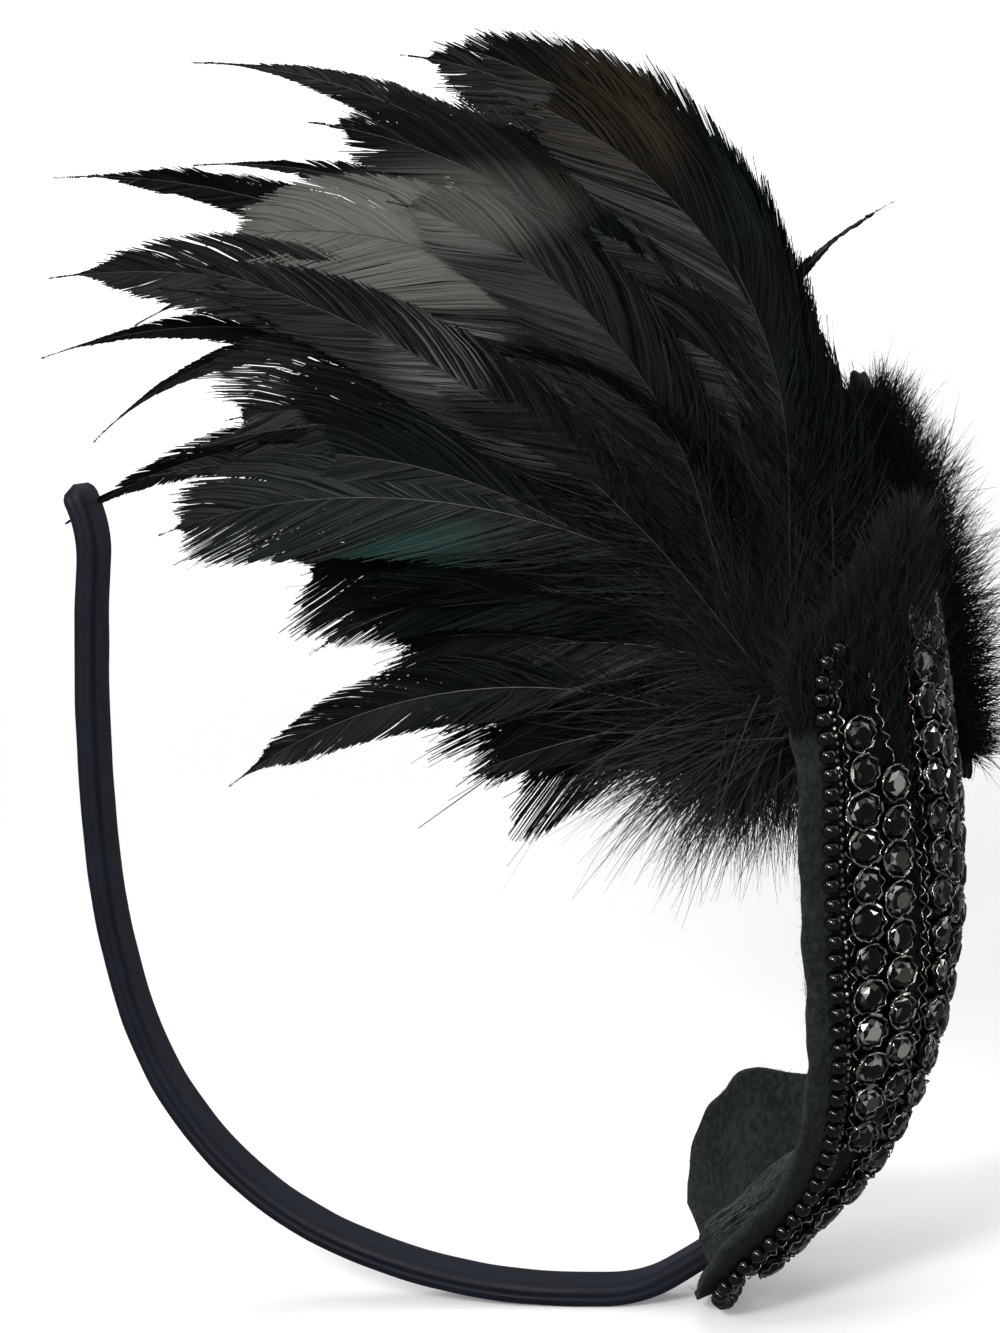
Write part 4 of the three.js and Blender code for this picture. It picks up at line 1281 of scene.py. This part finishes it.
class HEADBAND_OT_down(bpy.types.Operator):
    """Fills the plume with down and hangs the fringe below its root"""
    bl_idname = "headband.down"
    bl_label = "Down"

    def execute(self, context):
        look = context.scene.headband_plume
        rng = np.random.default_rng(71)
        finish = down_finish("plume_down", look.down, look.down_pale)
        plume = Plume(look.companions)
        count = look.plume_down
        which = rng.choice(plume.count, count)
        share = 0.02 + 0.5 * rng.random(count) ** 1.2
        place, ahead, across, out = (v[:, 0] for v in plume.at(which, share[:, None]))
        side = rng.choice([-1.0, 1.0], count)[:, None]
        open_ = rng.uniform(0.25, 1.15, count)[:, None]
        aims = unit(ahead * np.cos(open_) + across * side * np.sin(open_)
                    + out * rng.normal(size=(count, 1)) * 0.35)
        bow = ahead * rng.uniform(0.1, 0.6, (count, 1)) + rng.normal(size=(count, 3)) * 0.12
        length = rng.uniform(7, 19, count) * (1.15 - share)
        lines = hairs(place, aims, length, bow, 5, rng.normal(size=(count, 3)) * 0.05)
        lines = clear_of_ornament(lines, rng)
        add_hairs("plume_down_hairs", lines, 0.17, 0.3, rng, "down", "feather_plume", finish)

        count = look.fringe_down
        clump = rng.integers(0, FRINGE_CLUMPS, count)
        centre = rng.uniform(FRINGE_FROM, FRINGE_TO, FRINGE_CLUMPS)
        turn = np.radians(centre[clump] + rng.normal(size=count) * 4)
        lean = (rng.normal(size=FRINGE_CLUMPS) * 0.26)[clump] + rng.normal(size=count) * 0.06
        aims = unit(np.stack([np.cos(turn), lean, np.sin(turn)], axis=-1))
        roots = PLUME_ROOT + rng.normal(size=(count, 3)) * (6, 3.5, 3) + (-3, 0, 2)
        fall = smoothstep(centre, FRINGE_TO, FRINGE_FROM)[clump]
        length = FRINGE_LENGTH * (0.5 + 0.5 * fall) * rng.uniform(0.45, 1.12, count)
        bow = np.stack([np.full(count, 0.12), rng.normal(size=count) * 0.08,
                        rng.normal(size=count) * 0.1 - 0.06], -1)
        lines = clear_of_ornament(hairs(roots, aims, length, bow, 6), rng)
        pale = down_finish("fringe_down", look.down, look.fringe_pale)
        add_hairs("fringe_down", lines, 0.3, 0.15, rng, "down", "feather_plume", pale)
        self.collar(look.collar_down, rng, finish)
        return {"FINISHED"}

    def collar(self, count, rng, finish):
        """Down that comes over the felt above the near lobe and between the lobes."""
        along = 0.83 + 0.17 * rng.random(count) ** 0.8
        edge = near_edge(along)
        across = edge + rng.random(count) ** 1.3 * (-3 - edge)
        seam = rng.random(count) < 0.4
        along = np.where(seam, rng.uniform(0.66, 0.97, count), along)
        inner, outer = CENTRE_HALF_WIDTH - 0.5, Lobes.split(along) + 0.5
        line = rng.choice([-1, 1], count) * (inner + (outer - inner) * rng.random(count))
        across = np.where(seam, line, across)
        foot, ahead, side, up = ornament_frame(along, across, FELT_THICKNESS / 2 + 0.1)
        spread = np.where(seam, 0.15, 0.35) * rng.normal(size=count)
        aims = unit(ahead - side * spread[:, None] + up * rng.uniform(0.12, 0.6, (count, 1)))
        length = rng.uniform(8, 21, count) * (1 - 0.3 * smoothstep(along, 0.9, 1))
        length *= np.where(seam, 0.25 + 0.4 * smoothstep(along, 0.75, 0.95),
                           1 - 0.5 * smoothstep(-across, 14, 33))
        bow = np.stack([rng.normal(size=count) * 0.15 - 0.15, rng.normal(size=count) * 0.15, 0 * along], -1)
        lines = hairs(foot, aims, length, bow, 5, rng.normal(size=(count, 3)) * 0.05)
        add_hairs("collar_down", lines, 0.24, 0.25, rng, "down", "feather_plume", finish)


class HEADBAND_OT_puff(bpy.types.Operator):
    """Grows the puff of down along the ornament's far edge, on a soft core"""
    bl_idname = "headband.puff"
    bl_label = "Puff"

    def execute(self, context):
        look = context.scene.headband_plume
        rng = np.random.default_rng(83)
        finish = down_finish("puff_down", look.down, look.down_pale)
        slant = np.array(Matrix.Rotation(math.radians(PUFF_SLANT), 3, "Y"))
        count = look.puff_down
        share = rng.uniform(-1, 1, count)
        turn = rng.uniform(0, 2 * math.pi, count)
        fullness = np.sqrt(1.08 - share**2 * 0.75)
        start = 4.5 * fullness
        round_ = np.stack([np.cos(turn), np.sin(turn), 0 * turn], -1)
        roots = round_ * start[:, None] + np.stack([0 * share, 0 * share, share * PUFF_LENGTH * 0.4], -1)
        aims = unit(round_ + np.stack([0 * share, 0 * share, share * 0.9 + 0.25], -1)
                    + rng.normal(size=(count, 3)) * 0.28)
        clump = ripple(np.stack([turn * 6, share * 22, 0 * share], -1), 6, 85)
        wisp = rng.random(count) < 0.06
        length = (PUFF_REACH * fullness * rng.uniform(0.55, 1.0, count) * (1 + 0.16 * clump)
                  + wisp * rng.uniform(1, 6, count))
        bow = rng.normal(size=(count, 3)) * 0.16 + (0, 0, 0.18)
        lines = hairs(roots, aims, length - start * 0.4, bow, 5, rng.normal(size=(count, 3)) * 0.06)
        lines = lines @ slant.T + PUFF_PLACE
        lines = self.behind_ornament(lines, rng)
        add_hairs("puff_down", lines, 0.2, 0.25, rng, "down", "down_puff", finish)

        bm = bmesh.new()
        bmesh.ops.create_icosphere(bm, subdivisions=5, radius=1)
        for vert in bm.verts:
            point = np.array(vert.co) * (7.5, 7.5, PUFF_LENGTH * 0.44)
            point *= 1 + 0.12 * float(ripple(point[None], 6, 87)[0])
            vert.co = Vector(point @ slant.T + PUFF_PLACE)
        points = self.behind_ornament(np.array([v.co[:] for v in bm.verts])[None], rng, 0)[0]
        for vert, point in zip(bm.verts, points):
            vert.co = Vector(point * MM)
        bmesh.ops.recalc_face_normals(bm, faces=bm.faces)
        core = mesh_from(bm, "puff_core")
        add_values(core, barb=np.zeros(len(core.vertices)), length_share=np.zeros(len(core.vertices)))
        add_piece("puff_core", core, "down", ["down_puff"], finish)
        return {"FINISHED"}

    def behind_ornament(self, lines, rng, slack=1.0):
        """Points that would pass through the ornament, moved past its far edge."""
        flat = lines.reshape(-1, 3).copy()
        along, across, height, _ = from_ornament(flat)
        loose = rng.uniform(0, 1, len(flat)) * slack
        hit = ((along > 0) & (along < 1.02) & (across < far_edge(along) + 1.2)
               & (height > -PUFF_FELT_ROOM) & (height < STONES_ROOM))
        low = hit & (height < 2)
        flat[low] = on_ornament(along[low], across[low], -PUFF_FELT_ROOM - loose[low])
        high = hit & ~low
        flat[high] = on_ornament(along[high], far_edge(along[high]) + 1.3 + loose[high], height[high])
        return flat.reshape(lines.shape)


# Stage

class HEADBAND_OT_stage(bpy.types.Operator):
    """Lays the pale floor with its backdrop, and places the lights and the camera"""
    bl_idname = "headband.stage"
    bl_label = "Stage"

    def execute(self, context):
        look = context.scene.headband_stage
        profile = [(0.0, 0.0), (0.3, 0.0), (0.55, 0.0)]
        profile += [(0.55 + 0.25 * math.sin(t), 0.25 * (1 - math.cos(t)))
                    for t in np.linspace(0.1, math.pi / 2, 14)]
        profile += [(0.8, 0.6), (0.8, 1.2)]
        bm = bmesh.new()
        verts = [bm.verts.new((reach * look.floor_size / 2, 0, height * look.floor_size / 2))
                 for reach, height in profile]
        edges = [bm.edges.new(pair) for pair in zip(verts, verts[1:])]
        bmesh.ops.spin(bm, geom=verts + edges, cent=(0, 0, 0), axis=(0, 0, 1), angle=2 * math.pi, steps=96,
                       use_merge=True)
        bmesh.ops.remove_doubles(bm, verts=bm.verts, dist=1e-5)
        bmesh.ops.recalc_face_normals(bm, faces=bm.faces)
        bmesh.ops.reverse_faces(bm, faces=bm.faces)
        mesh = mesh_from(bm, "floor")
        floor = bpy.data.objects.new("floor", mesh)
        context.scene.collection.objects.link(floor)
        mesh.materials.append(paper_finish("floor_paper", look.floor).material)
        floor.visible_glossy = floor.visible_diffuse = floor.visible_shadow = False
        self.lights(context)
        self.camera(context)
        return {"FINISHED"}

    def lights(self, context):
        # name, place and aim in metres, width, height, power in watts
        table = (
            ("key_left", (-0.75, -0.75, 0.95), (0, 0, 0.12), 0.7, 0.7, 4.5),
            ("top", (0.1, 0.1, 1.3), (0, 0, 0.1), 1.4, 1.0, 9.0),
            ("front", (0.45, -1.3, 0.55), (0, 0, 0.12), 0.5, 0.9, 3.0),
            ("rim_right", (0.95, 0.45, 0.6), (0.02, 0, 0.14), 0.3, 0.9, 2.5),
            ("spark", (-0.12, -0.9, 0.62), (0.06, 0, 0.1), 0.24, 0.24, 8.0),
        )
        for name, at, aim, width, height, power in table:
            data = bpy.data.lights.new(name, "AREA")
            data.shape, data.size, data.size_y, data.energy = "RECTANGLE", width, height, power
            light = bpy.data.objects.new(name, data)
            light.location = at
            light.rotation_euler = (Vector(aim) - Vector(at)).to_track_quat("-Z", "Y").to_euler()
            context.scene.collection.objects.link(light)
        world = bpy.data.worlds.new("studio")
        world.use_nodes = True
        background = world.node_tree.nodes["Background"]
        background.inputs["Color"].default_value = (0.93, 0.95, 1.0, 1)
        background.inputs["Strength"].default_value = 0.17
        context.scene.world = world
        context.scene.view_settings.view_transform = "Standard"

    def camera(self, context):
        azimuth, elevation, roll = (math.radians(v) for v in (CAMERA_AZIMUTH, CAMERA_ELEVATION, CAMERA_ROLL))
        back = np.array((math.sin(azimuth) * math.cos(elevation), -math.cos(azimuth) * math.cos(elevation),
                         math.sin(elevation)))
        level = np.array((math.cos(azimuth), math.sin(azimuth), 0))
        upright = np.cross(back, level)
        right = level * math.cos(roll) - upright * math.sin(roll)
        data = bpy.data.cameras.new("camera")
        data.sensor_fit, data.sensor_height, data.lens = "VERTICAL", SENSOR_HEIGHT, CAMERA_LENS
        data.clip_end = 20
        camera = bpy.data.objects.new("camera", data)
        turn = Matrix(np.stack([right, np.cross(back, right), back], axis=-1).tolist()).to_4x4()
        turn.translation = Vector((CAMERA_TARGET + back * CAMERA_DISTANCE) * MM)
        camera.matrix_world = turn
        context.scene.collection.objects.link(camera)
        context.scene.camera = camera


# Panel

class HEADBAND_PT_panel(bpy.types.Panel):
    """Lists the headband's pieces"""
    bl_idname = "HEADBAND_PT_panel"
    bl_label = "Feather headband"
    bl_space_type = "VIEW_3D"
    bl_region_type = "UI"
    bl_category = "Headband"

    def draw(self, context):
        for kind in OPERATORS:
            self.layout.operator(kind.bl_idname)
        for key in SETTINGS:
            box = self.layout.box()
            group = getattr(context.scene, key)
            for name in group.__annotations__:
                box.prop(group, name)


SETTINGS = {
    "headband_band": HeadbandBandSettings,
    "headband_ornament": HeadbandOrnamentSettings,
    "headband_plume": HeadbandPlumeSettings,
    "headband_stage": HeadbandStageSettings,
}
OPERATORS = (HEADBAND_OT_stage, HEADBAND_OT_band, HEADBAND_OT_felt, HEADBAND_OT_stones, HEADBAND_OT_beads,
             HEADBAND_OT_feathers, HEADBAND_OT_down, HEADBAND_OT_puff)
CLASSES = (*SETTINGS.values(), *OPERATORS, HEADBAND_PT_panel)


def register():
    for kind in CLASSES:
        bpy.utils.register_class(kind)
    for key, kind in SETTINGS.items():
        setattr(bpy.types.Scene, key, bpy.props.PointerProperty(type=kind))


def unregister():
    for key in SETTINGS:
        delattr(bpy.types.Scene, key)
    for kind in reversed(CLASSES):
        bpy.utils.unregister_class(kind)


def main():
    register()
    for kind in OPERATORS:
        group, name = kind.bl_idname.split(".")
        getattr(getattr(bpy.ops, group), name)()


if __name__ == "__main__":
    main()
